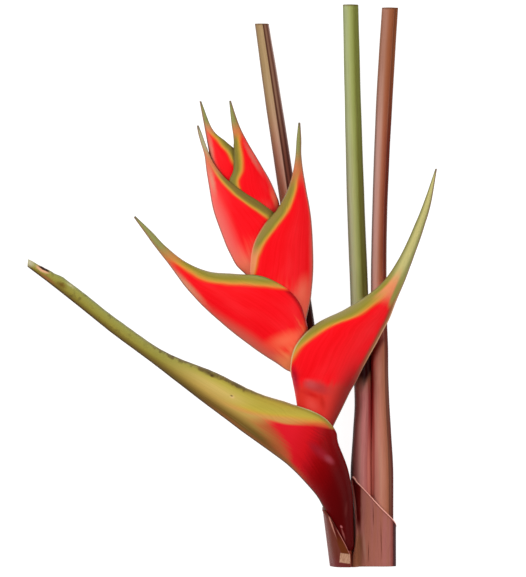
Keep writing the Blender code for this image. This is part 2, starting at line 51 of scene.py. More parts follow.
# Sizes shared with the solids
MIDDLE = (-0.75, 0.5, 0.0)  # of the footprint, in the plan that the tables are given in
CUT_Y = -197.0              # where stalk, leaf stalks and sheaths are cut off
BRACT_WALL = 0.9
SHEATH_WALL = 1.1
GAP = 0.3                   # air between neighbours
LIP_GAP = 0.35              # half the slit between a bract's lips
KEEL_POWER = 0.7            # how sharply a bract's section closes at its keel
LIP_POWER = 0.52            # and at its lips

# Stalk from the cut to its tip: x, y, height, radius
STALK = [
    (81.0, CUT_Y, 21.8, 5.4),
    (78.5, -186.0, 22.8, 5.4),
    (73.8, -152.0, 26.5, 5.2),
    (60.5, -113.0, 29.0, 5.0),
    (57.0, -75.0, 31.0, 4.2),
    (46.5, -46.0, 31.5, 3.5),
    (34.5, -15.0, 31.5, 3.2),
    (24.0, 22.5, 31.5, 2.4),
    (18.0, 34.5, 31.5, 1.6),
]
# The row of the stalk on which each bract grows
NODE_ROWS = {1: 1, 2: 3, 3: 4, 4: 5, 5: 6, 6: 7, 7: 8}

# Ribs of each bract from base to tip: keel x, keel y, lip x, lip y, half depth, height.
# "throat" is the last rib that is a closed tube, "seam" the rib where the lips grow together,
# and "band" the width of the green band at some of the ribs: rib, width.
BRACTS = {
    1: dict(throat=5, seam=12, ribs=[
        (69.0, -169.0, 84.5, -165.5, 8.0, 24.8),
        (61.1, -150.2, 84.0, -146.0, 10.0, 27.0),
        (50.9, -137.7, 80.5, -127.5, 12.5, 28.5),
        (40.5, -127.0, 74.0, -110.0, 14.2, 30.5),
        (34.0, -121.5, 72.0, -101.0, 15.0, 31.0),
        (21.3, -112.4, 62.0, -90.5, 15.0, 31.0),
        (4.6, -100.2, 40.9, -82.3, 13.5, 30.0),
        (-16.3, -84.6, 16.3, -74.3, 11.0, 27.0),
        (-38.7, -67.6, -13.3, -60.1, 8.5, 22.5),
        (-66.0, -47.1, -48.6, -45.5, 6.0, 16.5),
        (-93.9, -26.2, -83.7, -21.4, 4.5, 11.0),
        (-122.1, -3.5, -115.1, 2.8, 3.5, 6.5),
        (-144.7, 13.6, -144.1, 19.0, 2.5, 2.5),
    ], band=[(4.8, -9.0), (5.1, -5.0), (5.5, 1.0), (5.7, 3.6), (6.0, 9.4), (6.3, 13.6), (6.7, 17.8),
             (7.0, 21.8), (7.4, 24.7), (8.0, 26.4), (9.0, 25.0), (10.0, 20.0)]),
    2: dict(throat=4, seam=13, ribs=[
        (69.5, -101.0, 48.5, -102.5, 9.0, 30.0),
        (76.8, -86.0, 45.5, -85.5, 12.5, 31.0),
        (82.5, -74.0, 43.5, -74.0, 14.0, 31.5),
        (86.5, -67.0, 42.0, -66.5, 14.3, 31.5),
        (91.5, -57.0, 40.5, -56.5, 14.5, 31.5),
        (99.0, -43.5, 44.5, -41.5, 14.5, 31.5),
        (105.5, -31.5, 58.5, -26.5, 13.5, 31.5),
        (110.1, -22.6, 79.0, -16.1, 11.0, 32.0),
        (114.5, -10.5, 97.5, -4.0, 8.0, 32.5),
        (121.2, 4.7, 109.0, 7.5, 5.5, 33.0),
        (128.0, 23.7, 120.0, 26.0, 4.0, 33.5),
        (134.5, 42.3, 128.4, 45.0, 3.0, 34.0),
        (138.9, 57.8, 134.4, 60.3, 2.2, 35.0),
        (143.0, 82.0, 141.8, 82.0, 0.9, 36.0),
    ], band=[(4.7, -6.0), (5.1, -2.0), (5.5, 1.2), (6.0, 3.6), (6.5, 7.4), (6.9, 9.6), (7.2, 12.2),
             (7.7, 13.0), (8.4, 9.9), (8.9, 8.6), (9.4, 7.0), (10.2, 6.4), (11.0, 9.0), (12.0, 12.0)]),
    3: dict(throat=4, seam=12, ribs=[
        (48.0, -68.0, 63.0, -60.0, 7.5, 31.5),
        (43.0, -61.5, 59.5, -47.5, 10.0, 31.5),
        (37.3, -58.5, 53.5, -36.0, 12.0, 31.5),
        (30.7, -53.9, 52.5, -29.0, 13.5, 31.5),
        (19.6, -47.0, 47.5, -13.0, 14.0, 31.5),
        (4.6, -35.9, 37.0, -1.5, 14.0, 31.5),
        (-8.0, -25.6, 20.5, 6.5, 12.5, 31.5),
        (-20.2, -14.7, 1.5, 8.5, 10.5, 31.5),
        (-32.5, -1.5, -16.8, 10.2, 8.0, 31.0),
        (-43.7, 13.6, -33.3, 17.2, 5.5, 30.5),
        (-53.8, 26.9, -47.5, 28.5, 3.6, 29.5),
        (-61.1, 36.9, -56.5, 38.0, 2.4, 28.5),
        (-69.2, 48.0, -68.2, 49.2, 1.0, 27.0),
    ], band=[(5.0, -6.0), (5.7, -4.0), (6.1, 0.6), (6.6, 5.4), (7.0, 7.6), (7.5, 8.6), (8.0, 8.6),
             (8.5, 8.4), (9.0, 7.4), (9.4, 5.6), (9.9, 4.9), (10.4, 5.2), (11.0, 7.0), (12.0, 9.0)]),
    4: dict(throat=4, seam=12, ribs=[
        (50.0, -36.0, 34.5, -36.5, 7.0, 31.5),
        (51.5, -24.0, 25.5, -24.5, 9.5, 31.5),
        (54.6, -10.0, 17.5, -11.5, 12.0, 31.5),
        (55.5, -2.5, 14.5, -3.5, 13.0, 31.5),
        (56.5, 10.0, 12.5, 9.5, 13.3, 31.5),
        (56.4, 28.5, 14.5, 27.5, 13.0, 31.5),
        (55.5, 42.5, 21.5, 41.5, 12.0, 31.5),
        (53.9, 55.6, 30.5, 52.5, 10.3, 31.5),
        (51.8, 67.0, 37.5, 65.0, 8.0, 31.5),
        (49.5, 80.0, 41.5, 76.5, 5.6, 32.0),
        (48.2, 91.6, 44.0, 90.4, 3.6, 32.5),
        (48.3, 102.0, 44.7, 102.0, 2.2, 33.0),
        (47.5, 114.3, 46.0, 114.3, 1.0, 33.5),
    ], band=[(3.9, -5.0), (4.3, -1.0), (4.8, 2.4), (5.2, 3.8), (5.6, 4.7), (6.1, 6.5), (6.7, 9.1),
             (7.6, 9.6), (8.6, 7.1), (9.6, 5.1), (10.4, 6.0), (11.2, 8.0)]),
    5: dict(throat=4, seam=11, ribs=[
        (20.5, -5.5, 38.0, 0.5, 6.5, 31.5),
        (10.5, 6.5, 37.0, 17.0, 9.0, 31.5),
        (3.0, 13.7, 36.0, 27.5, 10.5, 31.5),
        (-0.8, 20.4, 34.5, 34.5, 11.0, 31.5),
        (-5.9, 32.2, 31.5, 48.0, 11.0, 31.5),
        (-12.8, 50.7, 20.5, 57.5, 10.3, 31.5),
        (-15.8, 65.0, 8.0, 65.5, 8.8, 31.5),
        (-18.0, 78.7, -4.0, 74.5, 6.5, 31.5),
        (-19.6, 91.1, -13.0, 85.5, 4.3, 31.5),
        (-22.4, 100.6, -17.8, 96.5, 2.9, 32.0),
        (-24.1, 106.9, -20.9, 105.5, 2.0, 32.5),
        (-25.0, 112.3, -23.6, 112.3, 1.0, 33.0),
    ], band=[(3.5, -6.0), (4.0, -2.0), (4.4, 2.4), (5.0, 5.3), (5.5, 7.2), (6.1, 8.8), (6.8, 8.8),
             (7.6, 6.9), (8.5, 5.2), (9.3, 6.0), (10.2, 8.0)]),
    6: dict(throat=2, seam=9, ribs=[
        (30.5, 34.5, 12.5, 31.5, 5.5, 31.5),
        (31.5, 40.0, 9.5, 37.5, 6.2, 31.5),
        (33.4, 50.5, 4.5, 47.5, 7.5, 31.5),
        (32.7, 58.0, 1.0, 57.5, 8.0, 31.5),
        (30.8, 63.5, -0.5, 65.0, 8.0, 31.5),
        (27.5, 71.4, -2.0, 73.5, 7.6, 31.5),
        (22.0, 81.5, 1.0, 82.5, 6.6, 31.5),
        (10.0, 101.8, 0.9, 101.5, 3.8, 31.5),
        (4.1, 114.1, -0.7, 113.5, 2.2, 31.0),
        (-1.0, 129.7, -2.4, 129.7, 1.0, 30.0),
    ], band=[(3.0, 2.0), (5.0, 6.0), (6.9, 5.9), (7.4, 5.4), (7.9, 4.0), (8.4, 4.2), (9.0, 5.5),
             (9.6, 7.0)]),
    7: dict(throat=2, seam=7, ribs=[
        (6.5, 43.5, 17.0, 44.5, 3.4, 31.5),
        (1.0, 54.5, 14.0, 58.0, 4.4, 31.5),
        (-5.0, 66.0, 10.5, 70.5, 5.2, 31.5),
        (-11.0, 76.5, 7.5, 83.5, 5.6, 31.5),
        (-15.0, 86.0, 3.0, 94.0, 5.0, 31.5),
        (-17.0, 96.0, -4.5, 101.0, 4.0, 31.5),
        (-19.5, 110.0, -14.0, 110.0, 2.2, 32.0),
        (-23.1, 129.3, -21.8, 129.3, 0.9, 32.5),
    ], band=[(3.0, 3.0), (4.6, 6.0), (5.7, 5.0), (6.5, 3.0), (7.0, 3.2), (7.5, 5.0)]),
}

# Leaf stalks from the cut to the top: x, y, height, half width, half height
PETIOLES = {
    "petiole_left": [
        (75.6, CUT_Y, 8.9, 5.8, 7.0),
        (70.3, -150.5, 8.9, 6.1, 7.1),
        (61.0, -94.5, 8.6, 6.4, 7.0),
        (50.0, -17.0, 8.4, 6.2, 6.9),
        (38.0, 67.5, 9.0, 6.0, 6.7),
        (28.5, 131.0, 9.5, 5.8, 6.4),
        (20.5, 184.5, 9.5, 5.0, 6.0),
    ],
    "petiole_centre": [
        (90.4, CUT_Y, 9.5, 7.0, 7.6),
        (90.2, -150.5, 9.5, 7.0, 7.6),
        (90.0, -129.5, 9.0, 7.0, 7.5),
        (91.0, -101.5, 8.5, 6.3, 7.3),
        (91.6, -80.0, 8.3, 5.8, 7.2),
        (90.2, -45.0, 8.1, 6.3, 7.1),
        (89.0, -3.0, 8.0, 6.4, 7.0),
        (86.5, 60.5, 8.2, 6.2, 6.8),
        (84.5, 131.0, 8.2, 5.8, 6.5),
        (83.0, 198.0, 7.8, 5.5, 6.2),
    ],
    "petiole_right": [
        (105.6, CUT_Y, 9.4, 7.7, 7.6),
        (105.5, -164.5, 9.4, 7.8, 7.6),
        (105.4, -129.5, 8.9, 7.8, 7.4),
        (104.8, -101.5, 8.5, 6.9, 7.3),
        (104.1, -80.0, 8.4, 6.3, 7.2),
        (103.5, -45.0, 8.2, 5.8, 6.9),
        (102.8, 4.0, 7.9, 5.6, 6.5),
        (103.8, 60.5, 7.3, 5.4, 6.1),
        (106.8, 131.0, 6.4, 5.8, 5.8),
        (110.8, 196.0, 5.27, 5.8, 5.4),
    ],
}
GROOVE_AT = {"petiole_left": 1.35, "petiole_centre": 0.85, "petiole_right": 0.75}
GROOVE_DEPTH = 0.16
GROOVE_SPREAD = 0.3
CLOSED_FROM = -5.0          # below this the right pair of leaf stalks lie face to face
CLOSED_OVER = 12.0          # and they close in over this length
CLOSING = {"petiole_centre": (0.2, 0.25), "petiole_right": (-0.25, 0.15)}    # shift, widening
SNUG = (-44.0, 15.0, 0.3)   # where they are wider still: place, reach, widening

# The two sheaths, column by column: x, y, height at the upper margin, x and height at the cut
SHEATH_RIGHT = [
    (85.2, -189.0, 27.6, 84.2, 27.9),
    (87.1, -178.0, 24.8, 86.5, 26.2),
    (87.0, -162.0, 20.8, 88.0, 22.8),
    (85.6, -146.0, 17.6, 88.9, 19.8),
    (84.2, -134.0, 15.4, 91.0, 18.9),
    (87.5, -137.5, 18.4, 94.0, 18.7),
    (91.5, -141.5, 18.9, 97.0, 18.3),
    (97.5, -148.0, 18.2, 100.5, 18.4),
    (103.0, -154.0, 18.7, 104.0, 18.8),
    (107.5, -158.5, 18.5, 108.0, 18.5),
    (111.5, -162.5, 16.6, 111.8, 16.6),
    (114.2, -166.0, 13.2, 114.2, 13.2),
    (115.0, -168.0, 9.0, 115.0, 9.0),
    (114.2, -169.0, 4.8, 114.2, 4.8),
    (111.8, -170.0, 1.4, 111.8, 1.4),
    (108.0, -170.0, 0.0, 108.0, 0.0),
    (99.5, -170.0, 0.0, 99.5, 0.0),
    (93.0, -168.0, 0.2, 93.0, 0.2),
    (88.0, -166.0, 0.7, 88.0, 0.7),
]
SHEATH_LEFT = [
    (82.2, -188.0, 31.2, 82.8, 29.1),
    (79.3, -181.5, 32.4, 80.2, 29.5),
    (74.4, -172.5, 33.4, 76.8, 29.2),
    (69.5, -164.5, 33.0, 73.8, 27.5),
    (65.8, -159.5, 30.8, 71.6, 24.2),
    (64.0, -157.0, 26.5, 70.1, 19.5),
    (63.3, -156.0, 20.5, 69.0, 14.5),
    (63.1, -155.5, 12.5, 68.3, 9.5),
    (64.0, -156.0, 6.0, 68.8, 5.0),
    (66.8, -158.0, 1.8, 70.8, 1.6),
    (71.0, -160.0, 0.5, 74.5, 0.4),
    (75.5, -162.0, 0.6, 79.0, 0.5),
]

# Fineness of the pieces
BASE_STEPS = 22             # from the foot of a bract to its throat
MOUTH_STEPS = 84            # from there to the seam
TIP_STEPS = 14              # and on to the tip
THROAT = BASE_STEPS         # stations of the throat and the seam
SEAM = BASE_STEPS + MOUTH_STEPS
STATIONS = SEAM + TIP_STEPS + 1
CROWDING = 1.2              # how the stations of the mouth crowd towards the throat
FLANK_STEPS = 18
RIM_STEPS = 3
ROD_SIDES = 56
ROD_STEPS = 170
STALK_STEPS = 90
CAP_RINGS = 4
SHEATH_ROWS = 60
SHEATH_FINER = 8            # points between two columns of a sheath
ROUND = np.linspace(0, 2 * math.pi, ROD_SIDES, endpoint=False)      # turns round a rod

# Sections of a bract
ROUND_POWER = 0.5           # of its round tube
OPEN_ROWS = 0.8             # rows over which the lips part
SLIT_POWER = 6              # how fast the slit closes away from the lips
NARROW_WALL = 0.3           # most of a narrow rib's width that its wall takes
CLOSED_LIP = 0.8            # share of the wall that is left at a closed lip

# How a bract is laid over what it holds
MAP_STEP = 1.0              # grid of the height map
MAP_MARGIN = 6.0
FAR = 200.0                 # height from which the map is felt
LOOSE = 0.25                # air left over what is held
ROUNDS = 30                 # rounds of smoothing the lift
PUSH = 0.2                  # one small step outwards
MOST_PUSHES = 40
SHEATH_PUSH = 0.1           # the same for a sheath
SHEATH_PUSHES = 6

# Dents and swellings in a bract's upper flank, laid in the plan: x, y, turn in degrees,
# half length, half width, rise
MARKS = {
    1: [(-132.3, 12.6, -26.6, 5.0, 0.9, -0.7), (-138.5, 16.0, -26.6, 4.0, 1.0, 0.3)],
    2: [(57.0, -67.9, -15.0, 12.0, 3.2, 0.8), (57.4, -74.2, -17.4, 13.0, 2.2, -0.9)],
}
SWELLS = [(26.0, 0.35, 0), (9.0, 0.1, 20)]      # unevenness of a bract: size, height, seed
MARK_CORE = 0.2             # where a mark reaches its full rise, as a share of its size
WORN_LIP = 0.4              # how far the oldest bract's lip is worn in and out
WORN_SIZE = 2.6             # size of the worn places
WORN_ROWS = (5.0, 7.0)      # rows over which the wear starts
WORN_REACH = 3.0            # how far from the lip it is felt
WORN_SEED = 31
LIP_KNOB = (-119.5, 1.8, 0.6)       # a knob on that lip: x, half width, size
BEAD = 0.3                  # how far the rolled margin of a sheath stands out
BEAD_AT = 0.9               # its middle, from the very edge
BEAD_REACH = 0.6
SHEATH_RIBS = (3.0, 0.05, 0.1)      # fine ribs of a sheath: size, share along Y, height
ROD_RIBS = (9.0, 1.6, 0.012)        # ribs of a leaf stalk: radius and size, and height as a share
ROD_WAVES = (22.0, 0.02)    # its waves: size, and height as a share of its width
ROD_SIZE = 0.995            # keeps them inside the solid's box
END_ROUNDING = 0.5
ROUNDING_RINGS = 4
CAP_CORE = 0.15             # size of the innermost ring of a cut face

# Grain, the place in mm that streaks are read from
FLANK_GRAIN = 40.0          # width in it of a bract's flank
GRAIN_SHIFT = 17.0          # from one bract to the next
ROD_GRAIN = 0.03            # share of the way along Y that counts, which draws streaks out
SHEATH_STREAKS = 0.04       # the same for a sheath
LEAF_GIRTH = 6.0            # radius in it of a leaf stalk
STALK_GIRTH = 5.0           # and of the flower stalk

# Other helpers of shapes and paint
SEED_STEP = (7.3, 3.1, 5.7)         # how far noise is shifted from one seed to the next
FLAT = 10000.0              # makes a patch in the plan ignore the height
# A line along Y in each sheath, which its outer side faces away from
SHEATH_CENTRES = {"sheath_right": (96.0, 0.0, 9.0), "sheath_left": (74.0, 0.0, 14.0)}


def smooth_through(rows, at):
    """Reads a smooth curve through rows of numbers at the given row positions."""
    rows = np.asarray(rows, dtype=float)
    at = np.asarray(at, dtype=float)
    last = len(rows) - 1
    low = np.clip(np.floor(at).astype(int), 0, last - 1)
    part = (at - low)[:, None]
    slope = np.empty_like(rows)
    slope[1:-1] = (rows[2:] - rows[:-2]) / 2
    slope[0] = rows[1] - rows[0]
    slope[-1] = rows[-1] - rows[-2]
    start, end = rows[low], rows[low + 1]
    rise, fall = slope[low], slope[low + 1]
    squared, cubed = part ** 2, part ** 3
    return ((2 * cubed - 3 * squared + 1) * start + (cubed - 2 * squared + part) * rise
            + (3 * squared - 2 * cubed) * end + (cubed - squared) * fall)


def softened(field, times=1):
    """Averages a grid of numbers with its neighbours, the edges repeated."""
    for _ in range(times):
        wide = np.pad(field, 1, mode="edge")
        field = (wide[:-2, 1:-1] + 2 * wide[1:-1, 1:-1] + wide[2:, 1:-1]) / 4
        wide = np.pad(field, 1, mode="edge")
        field = (wide[1:-1, :-2] + 2 * wide[1:-1, 1:-1] + wide[1:-1, 2:]) / 4
    return field


def widened(field):
    """Gives each point of a grid the largest number among its neighbours."""
    wide = np.pad(field, 1, mode="edge")
    rows = np.maximum(np.maximum(wide[:-2], wide[1:-1]), wide[2:])
    return np.maximum(np.maximum(rows[:, :-2], rows[:, 1:-1]), rows[:, 2:])


def ease(value, low, high):
    """Rises smoothly from 0 at low to 1 at high, or falls where low is the larger."""
    part = np.clip((value - low) / (high - low), 0, 1)
    return part * part * (3 - 2 * part)


def rough(points, size, seed):
    """Smooth noise from -1 to 1 at each point, with bumps of about the given size."""
    flat = np.asarray(points).reshape(-1, 3) / size
    offset = Vector([step * seed for step in SEED_STEP])
    values = [noise.noise(Vector(point) + offset) for point in flat]
    return np.array(values).reshape(np.asarray(points).shape[:-1])


def listed(grid):
    """The entries of a grid in one list."""
    return grid.reshape(-1, *grid.shape[2:])


def quads(corners):
    """Faces from index quadruples, as triangles where two corners are the same."""
    faces = []
    for face in corners:
        kept = [index for place, index in enumerate(face) if index != face[place - 1]]
        if len(set(kept)) == len(kept) and len(kept) > 2:
            faces.append(tuple(kept))
    return faces


def outward(points, faces):
    """Turns a closed surface's faces so that they point out."""
    volume = 0.0
    for face in faces:
        first = points[face[0]]
        for here, after in zip(face[1:-1], face[2:]):
            volume += first @ np.cross(points[here], points[after])
    return faces if volume > 0 else [face[::-1] for face in faces]


def make_piece(node, points, faces, readings, materials, second=()):
    """Makes one shaded piece in metres with its readings stored on its points."""
    used = np.unique(np.concatenate([np.asarray(face) for face in faces]))
    place = np.zeros(len(points), dtype=int)
    place[used] = np.arange(len(used))
    faces = [tuple(int(place[index]) for index in face) for face in faces]
    mesh = bpy.data.meshes.new(node + "_skin")
    mesh.from_pydata(((points[used] - MIDDLE) * MM).tolist(), [], faces)
    mesh.shade_smooth()
    for key, values in readings.items():
        values = np.asarray(values, dtype=np.float32)[used]
        kind, field = ("FLOAT_VECTOR", "vector") if values.ndim == 2 else ("FLOAT", "value")
        layer = mesh.attributes.new(key, kind, "POINT")
        layer.data.foreach_set(field, values.ravel())
    for material in materials:
        mesh.materials.append(material)
    for index in second:
        mesh.polygons[index].material_index = 1
    piece = bpy.data.objects.new(node + "_skin", mesh)
    bpy.context.collection.objects.link(piece)
    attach(piece, "root")
    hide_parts(node)


# Bracts

def base_rib(node, keel_side):
    """The rib where a bract closes round the stalk, square to the stalk."""
    here, before = np.array(STALK[node]), np.array(STALK[node - 1])
    after = np.array(STALK[min(node + 1, len(STALK) - 1)])
    along = after[:2] - before[:2]
    across = np.array([along[1], -along[0]]) / norm(along) * keel_side
    reach = here[3] + GAP + BRACT_WALL
    return (*(here[:2] + across * reach), *(here[:2] - across * reach), reach, here[2])


def bract_stations(bract, ribs):
    """Row positions of the stations along a bract, with one on the throat and one on the seam."""
    base = np.linspace(0, bract["throat"], BASE_STEPS + 1)
    part = np.linspace(0, 1, MOUTH_STEPS + 1) ** CROWDING
    mouth = bract["throat"] + (bract["seam"] - bract["throat"]) * part
    tip = np.linspace(bract["seam"], len(ribs) - 1, TIP_STEPS + 1)
    return np.concatenate([base, mouth[1:], tip[1:]])


def lift(keel, lip, across, rise, height):
    """Places points of a section in space from their distance to the keel and to the mid plane."""
    way = (lip - keel) / norm(lip - keel)
    flat = keel + np.outer(across, way)
    return np.column_stack([flat, height + rise])


def bract_section(rib, keel_power, lip_power, opening):
    """Outer points, inner points and spreading directions, from the front lip round the keel."""
    keel, lip, depth, height = rib[0:2], rib[2:4], rib[4], rib[5]
    width = norm(lip - keel)
    share = (1 + np.cos(np.linspace(0, math.pi, FLANK_STEPS + 1))) / 2
    peak = keel_power / (keel_power + lip_power)
    top = peak ** keel_power * (1 - peak) ** lip_power
    swell = depth * share ** keel_power * (1 - share) ** lip_power / top
    swell = swell + opening * (LIP_GAP + BRACT_WALL) * share ** SLIT_POWER
    across = share * width
    normal = np.stack([np.gradient(swell), -np.gradient(across)], axis=1)
    normal /= norm(normal, axis=1)[:, None]
    normal[-1] = (-1, 0)
    normal[0] = (1 - opening, opening)
    normal[0] /= norm(normal[0])
    wall = min(BRACT_WALL, width * NARROW_WALL)
    inner = np.stack([across, swell], axis=1) - normal * wall
    inner[:, 0] = np.clip(inner[:, 0], wall, width - wall * CLOSED_LIP * (1 - opening))
    inner[1:-1, 1] = np.maximum(inner[1:-1, 1], LIP_GAP * opening)
    inner[-1, 1] = 0
    if opening == 0:
        inner[0, 1] = 0
    walls = [[lift(keel, lip, flat, rise * side, height) for side in (1, -1)]
             for flat, rise in ((across, swell), inner.T)]
    way = (lip - keel) / width
    front_way = np.column_stack([normal[:, :1] * way, normal[:, 1]])
    walls.append((front_way, front_way * (1, 1, -1)))
    return [np.concatenate([front, back[-2::-1]]) for front, back in walls]


def bract_grids(number):
    """Outer grid, inner grid, spreading directions and row positions of one bract."""
    bract = BRACTS[number]
    throat, seam = bract["throat"], bract["seam"]
    ribs = [base_rib(NODE_ROWS[number], -1 if number % 2 else 1)] + bract["ribs"]
    places = bract_stations(bract, ribs)
    opening = ease(places, throat, throat + OPEN_ROWS) * ease(places, seam, seam - OPEN_ROWS)
    sections = []
    for row, place, share in zip(smooth_through(ribs, places), places, opening):
        folded = min(1.0, place / 2)
        powers = [ROUND_POWER + (power - ROUND_POWER) * folded for power in (KEEL_POWER, LIP_POWER)]
        sections.append(bract_section(row, *powers, share))
    return (*(np.array(grid) for grid in zip(*sections)), places)


def rim_points(outer, inner, side):
    """Rounds the edge of a lip: points on a half circle from the outer wall to the inner wall."""
    edge_out, edge_in = outer[:, side], inner[:, side]
    middle = (edge_out + edge_in) / 2
    away = edge_out - outer[:, 1 if side == 0 else -2]
    away /= norm(away, axis=1)[:, None] + 1e-9
    half = norm(edge_out - edge_in, axis=1) / 2
    turns = np.linspace(0, math.pi, RIM_STEPS + 2)[1:-1]
    rim = [middle + (edge_out - middle) * math.cos(turn) + away * (half * math.sin(turn))[:, None]
           for turn in turns]
    return listed(np.stack(rim, axis=1))


def rest_of_bract(outer, inner):
    """The points of a bract beside its two walls: both rounded lips, the seam and the tip."""
    middles = [inner[SEAM].mean(axis=0), outer[-1].mean(axis=0)]
    return np.concatenate([rim_points(outer, inner, 0), rim_points(outer, inner, -1), middles])


def spread(grid):
    """Gives a reading of the outer wall to all points of a bract."""
    rims = [listed(grid[:, [side] * RIM_STEPS]) for side in (0, -1)]
    return np.concatenate([listed(grid), listed(grid), *rims, np.stack([grid[SEAM, 0], grid[-1, 0]])])


def bract_faces():
    """Faces of a bract: outer wall, inner wall, rounded lips, base ring, seam and tip."""
    around = 2 * FLANK_STEPS
    size = STATIONS * (around + 1)
    rims = 2 * size, 2 * size + STATIONS * RIM_STEPS
    seam_middle = 2 * size + 2 * STATIONS * RIM_STEPS

    def outer(i, j):
        return i * (around + 1) + (j if THROAT < i < SEAM else j % around)

    def inner(i, j):
        return size + outer(i, j)

    def rim(side, i, k):
        if k == 0:
            return outer(i, side * around)
        if k == RIM_STEPS + 1:
            return inner(i, side * around)
        return rims[side if THROAT < i < SEAM else 0] + i * RIM_STEPS + k - 1

    corners = []
    for i in range(STATIONS - 1):
        for j in range(around):
            corners.append((outer(i, j), outer(i + 1, j), outer(i + 1, j + 1), outer(i, j + 1)))
    for i in range(SEAM):
        for j in range(around):
            corners.append((inner(i, j), inner(i, j + 1), inner(i + 1, j + 1), inner(i + 1, j)))
    for i in range(THROAT, SEAM):
        for k in range(RIM_STEPS + 1):
            for side, order in ((0, 1), (1, -1)):
                face = rim(side, i, k), rim(side, i, k + 1), rim(side, i + 1, k + 1), rim(side, i + 1, k)
                corners.append(face[::order])
    for j in range(around):
        corners.append((outer(0, j), outer(0, j + 1), inner(0, j + 1), inner(0, j)))
    faces = quads(corners)
    for j in range(around):
        faces.append((inner(SEAM, j), inner(SEAM, j + 1), seam_middle))
        faces.append((outer(STATIONS - 1, j), seam_middle + 1, outer(STATIONS - 1, j + 1)))
    return faces


def height_map(tree, low, high, side):
    """How far the held pieces reach above (side 1) or below (side -1) each spot of a grid."""
    xs = np.arange(low[0] - MAP_MARGIN, high[0] + MAP_MARGIN, MAP_STEP)
    ys = np.arange(low[1] - MAP_MARGIN, high[1] + MAP_MARGIN, MAP_STEP)
    reach = np.full((len(xs), len(ys)), -FAR)
    for a, x in enumerate(xs):
        for b, y in enumerate(ys):
            hit = tree.ray_cast(Vector((x, y, FAR * side)), Vector((0, 0, -side)))[0]
            if hit is not None:
                reach[a, b] = hit.z * side
    return xs[0], ys[0], widened(reach)


def read_map(reach_map, points):
    """The height map's largest value round each point."""
    x0, y0, reach = reach_map
    a = np.clip((points[..., 0] - x0) / MAP_STEP, 0, reach.shape[0] - 2).astype(int)
    b = np.clip((points[..., 1] - y0) / MAP_STEP, 0, reach.shape[1] - 2).astype(int)
    return np.max([reach[a, b], reach[a + 1, b], reach[a, b + 1], reach[a + 1, b + 1]], axis=0)


def lay_over(outer, inner, tree):
    """Lifts a bract's flanks off whatever it holds, with a smooth swell round each lift."""
    low, high = listed(outer).min(axis=0), listed(outer).max(axis=0)
    for side, columns, lip, keel in ((1, slice(0, FLANK_STEPS + 1), 0, FLANK_STEPS),
                                     (-1, slice(FLANK_STEPS, None), -1, 0)):
        reach_map = height_map(tree, low, high, side)
        points = inner[:, columns]
        need = np.maximum(read_map(reach_map, points) + LOOSE - points[:, :, 2] * side, 0)
        need[:, keel] = 0
        need[0] = 0
        need[:THROAT + 1, lip] = 0
        need[SEAM:] = 0
        rise = need.copy()
        for _ in range(ROUNDS):
            rise = np.maximum(need, softened(rise))
            rise[:, keel] = 0
            rise[0] = 0
        outer[:, columns, 2] += rise * side
        inner[:, columns, 2] += rise * side


def work_free(outer, inner, ways, faces, others, tree, most=MOST_PUSHES, step=PUSH):
    """Eases a thin sheet outwards wherever it still touches what it holds."""
    columns = outer.shape[1]
    count = outer.shape[0] * columns
    for _ in range(most):
        points = np.concatenate([listed(outer), listed(inner), others(outer, inner)])
        own = BVHTree.FromPolygons(points.tolist(), faces)
        touched = {index for pair in own.overlap(tree) for index in faces[pair[0]]}
        spots = {divmod(index % count, columns) for index in touched if index < 2 * count}
        if not spots:
            return
        push = np.zeros(outer.shape[:2])
        for i, j in spots:
            push[i, j] = step
        push = softened(widened(widened(push)), 2)
        push[0] = 0
        outer += ways * push[:, :, None]
        inner += ways * push[:, :, None]
    print("a thin wall still touches what it holds")


def arc_from(points, start, axis):
    """Distance along a grid from one of its lines, measured on the surface."""
    steps = norm(np.diff(points, axis=axis), axis=2)
    none = np.zeros_like(np.take(steps, [0], axis=axis))
    total = np.concatenate([none, np.cumsum(steps, axis=axis)], axis=axis)
    return np.abs(total - np.take(total, [start], axis=axis))


def bract_readings(number, outer, places):
    """What the materials read at each point of the outer grid."""
    from_keel = arc_from(outer, FLANK_STEPS, 1)
    from_lip = np.minimum(arc_from(outer, 0, 1), arc_from(outer, -1, 1))
    share = from_keel / (from_keel + from_lip + 1e-6)
    run = arc_from(outer[:, FLANK_STEPS // 2][:, None], 0, 0)
    at, width = np.array(BRACTS[number]["band"]).T
    band = softened(np.interp(places, at, width)[:, None], 6)
    behind = np.arange(outer.shape[1]) > FLANK_STEPS
    seen_from_lip = norm(outer[:, :, :2] - outer[:, np.where(behind, -1, 0), :2], axis=2)
    seen_from_keel = norm(outer[:, :, :2] - outer[:, FLANK_STEPS, None, :2], axis=2)
    across = (1 - np.cos(np.linspace(-math.pi, math.pi, outer.shape[1]))) / 2
    side, none = np.where(behind, -1.0, 1.0), np.zeros(share.shape)
    grain = np.stack([run + none, side * share * FLANK_GRAIN, none + number * GRAIN_SHIFT], axis=2)
    return dict(from_lip=seen_from_lip, from_keel=seen_from_keel, past_band=seen_from_lip - band,
                to_tip=run[-1] - run + none, row=places[:, None] + none, across=across + none,
                plan=outer, grain=grain)


def press_marks(outer, inner, marks):
    """Dents or swells the upper flank at each mark."""
    for x, y, degrees, half_length, half_width, rise in marks:
        turn = math.radians(degrees)
        away = outer[:, :, :2] - (x, y)
        along = away @ (math.cos(turn), math.sin(turn)) / half_length
        aside = away @ (-math.sin(turn), math.cos(turn)) / half_width
        shape = ease(np.hypot(along, aside), 1.0, MARK_CORE)
        shape[:, FLANK_STEPS:] = 0
        outer[:, :, 2] += rise * shape
        inner[:, :, 2] += rise * shape


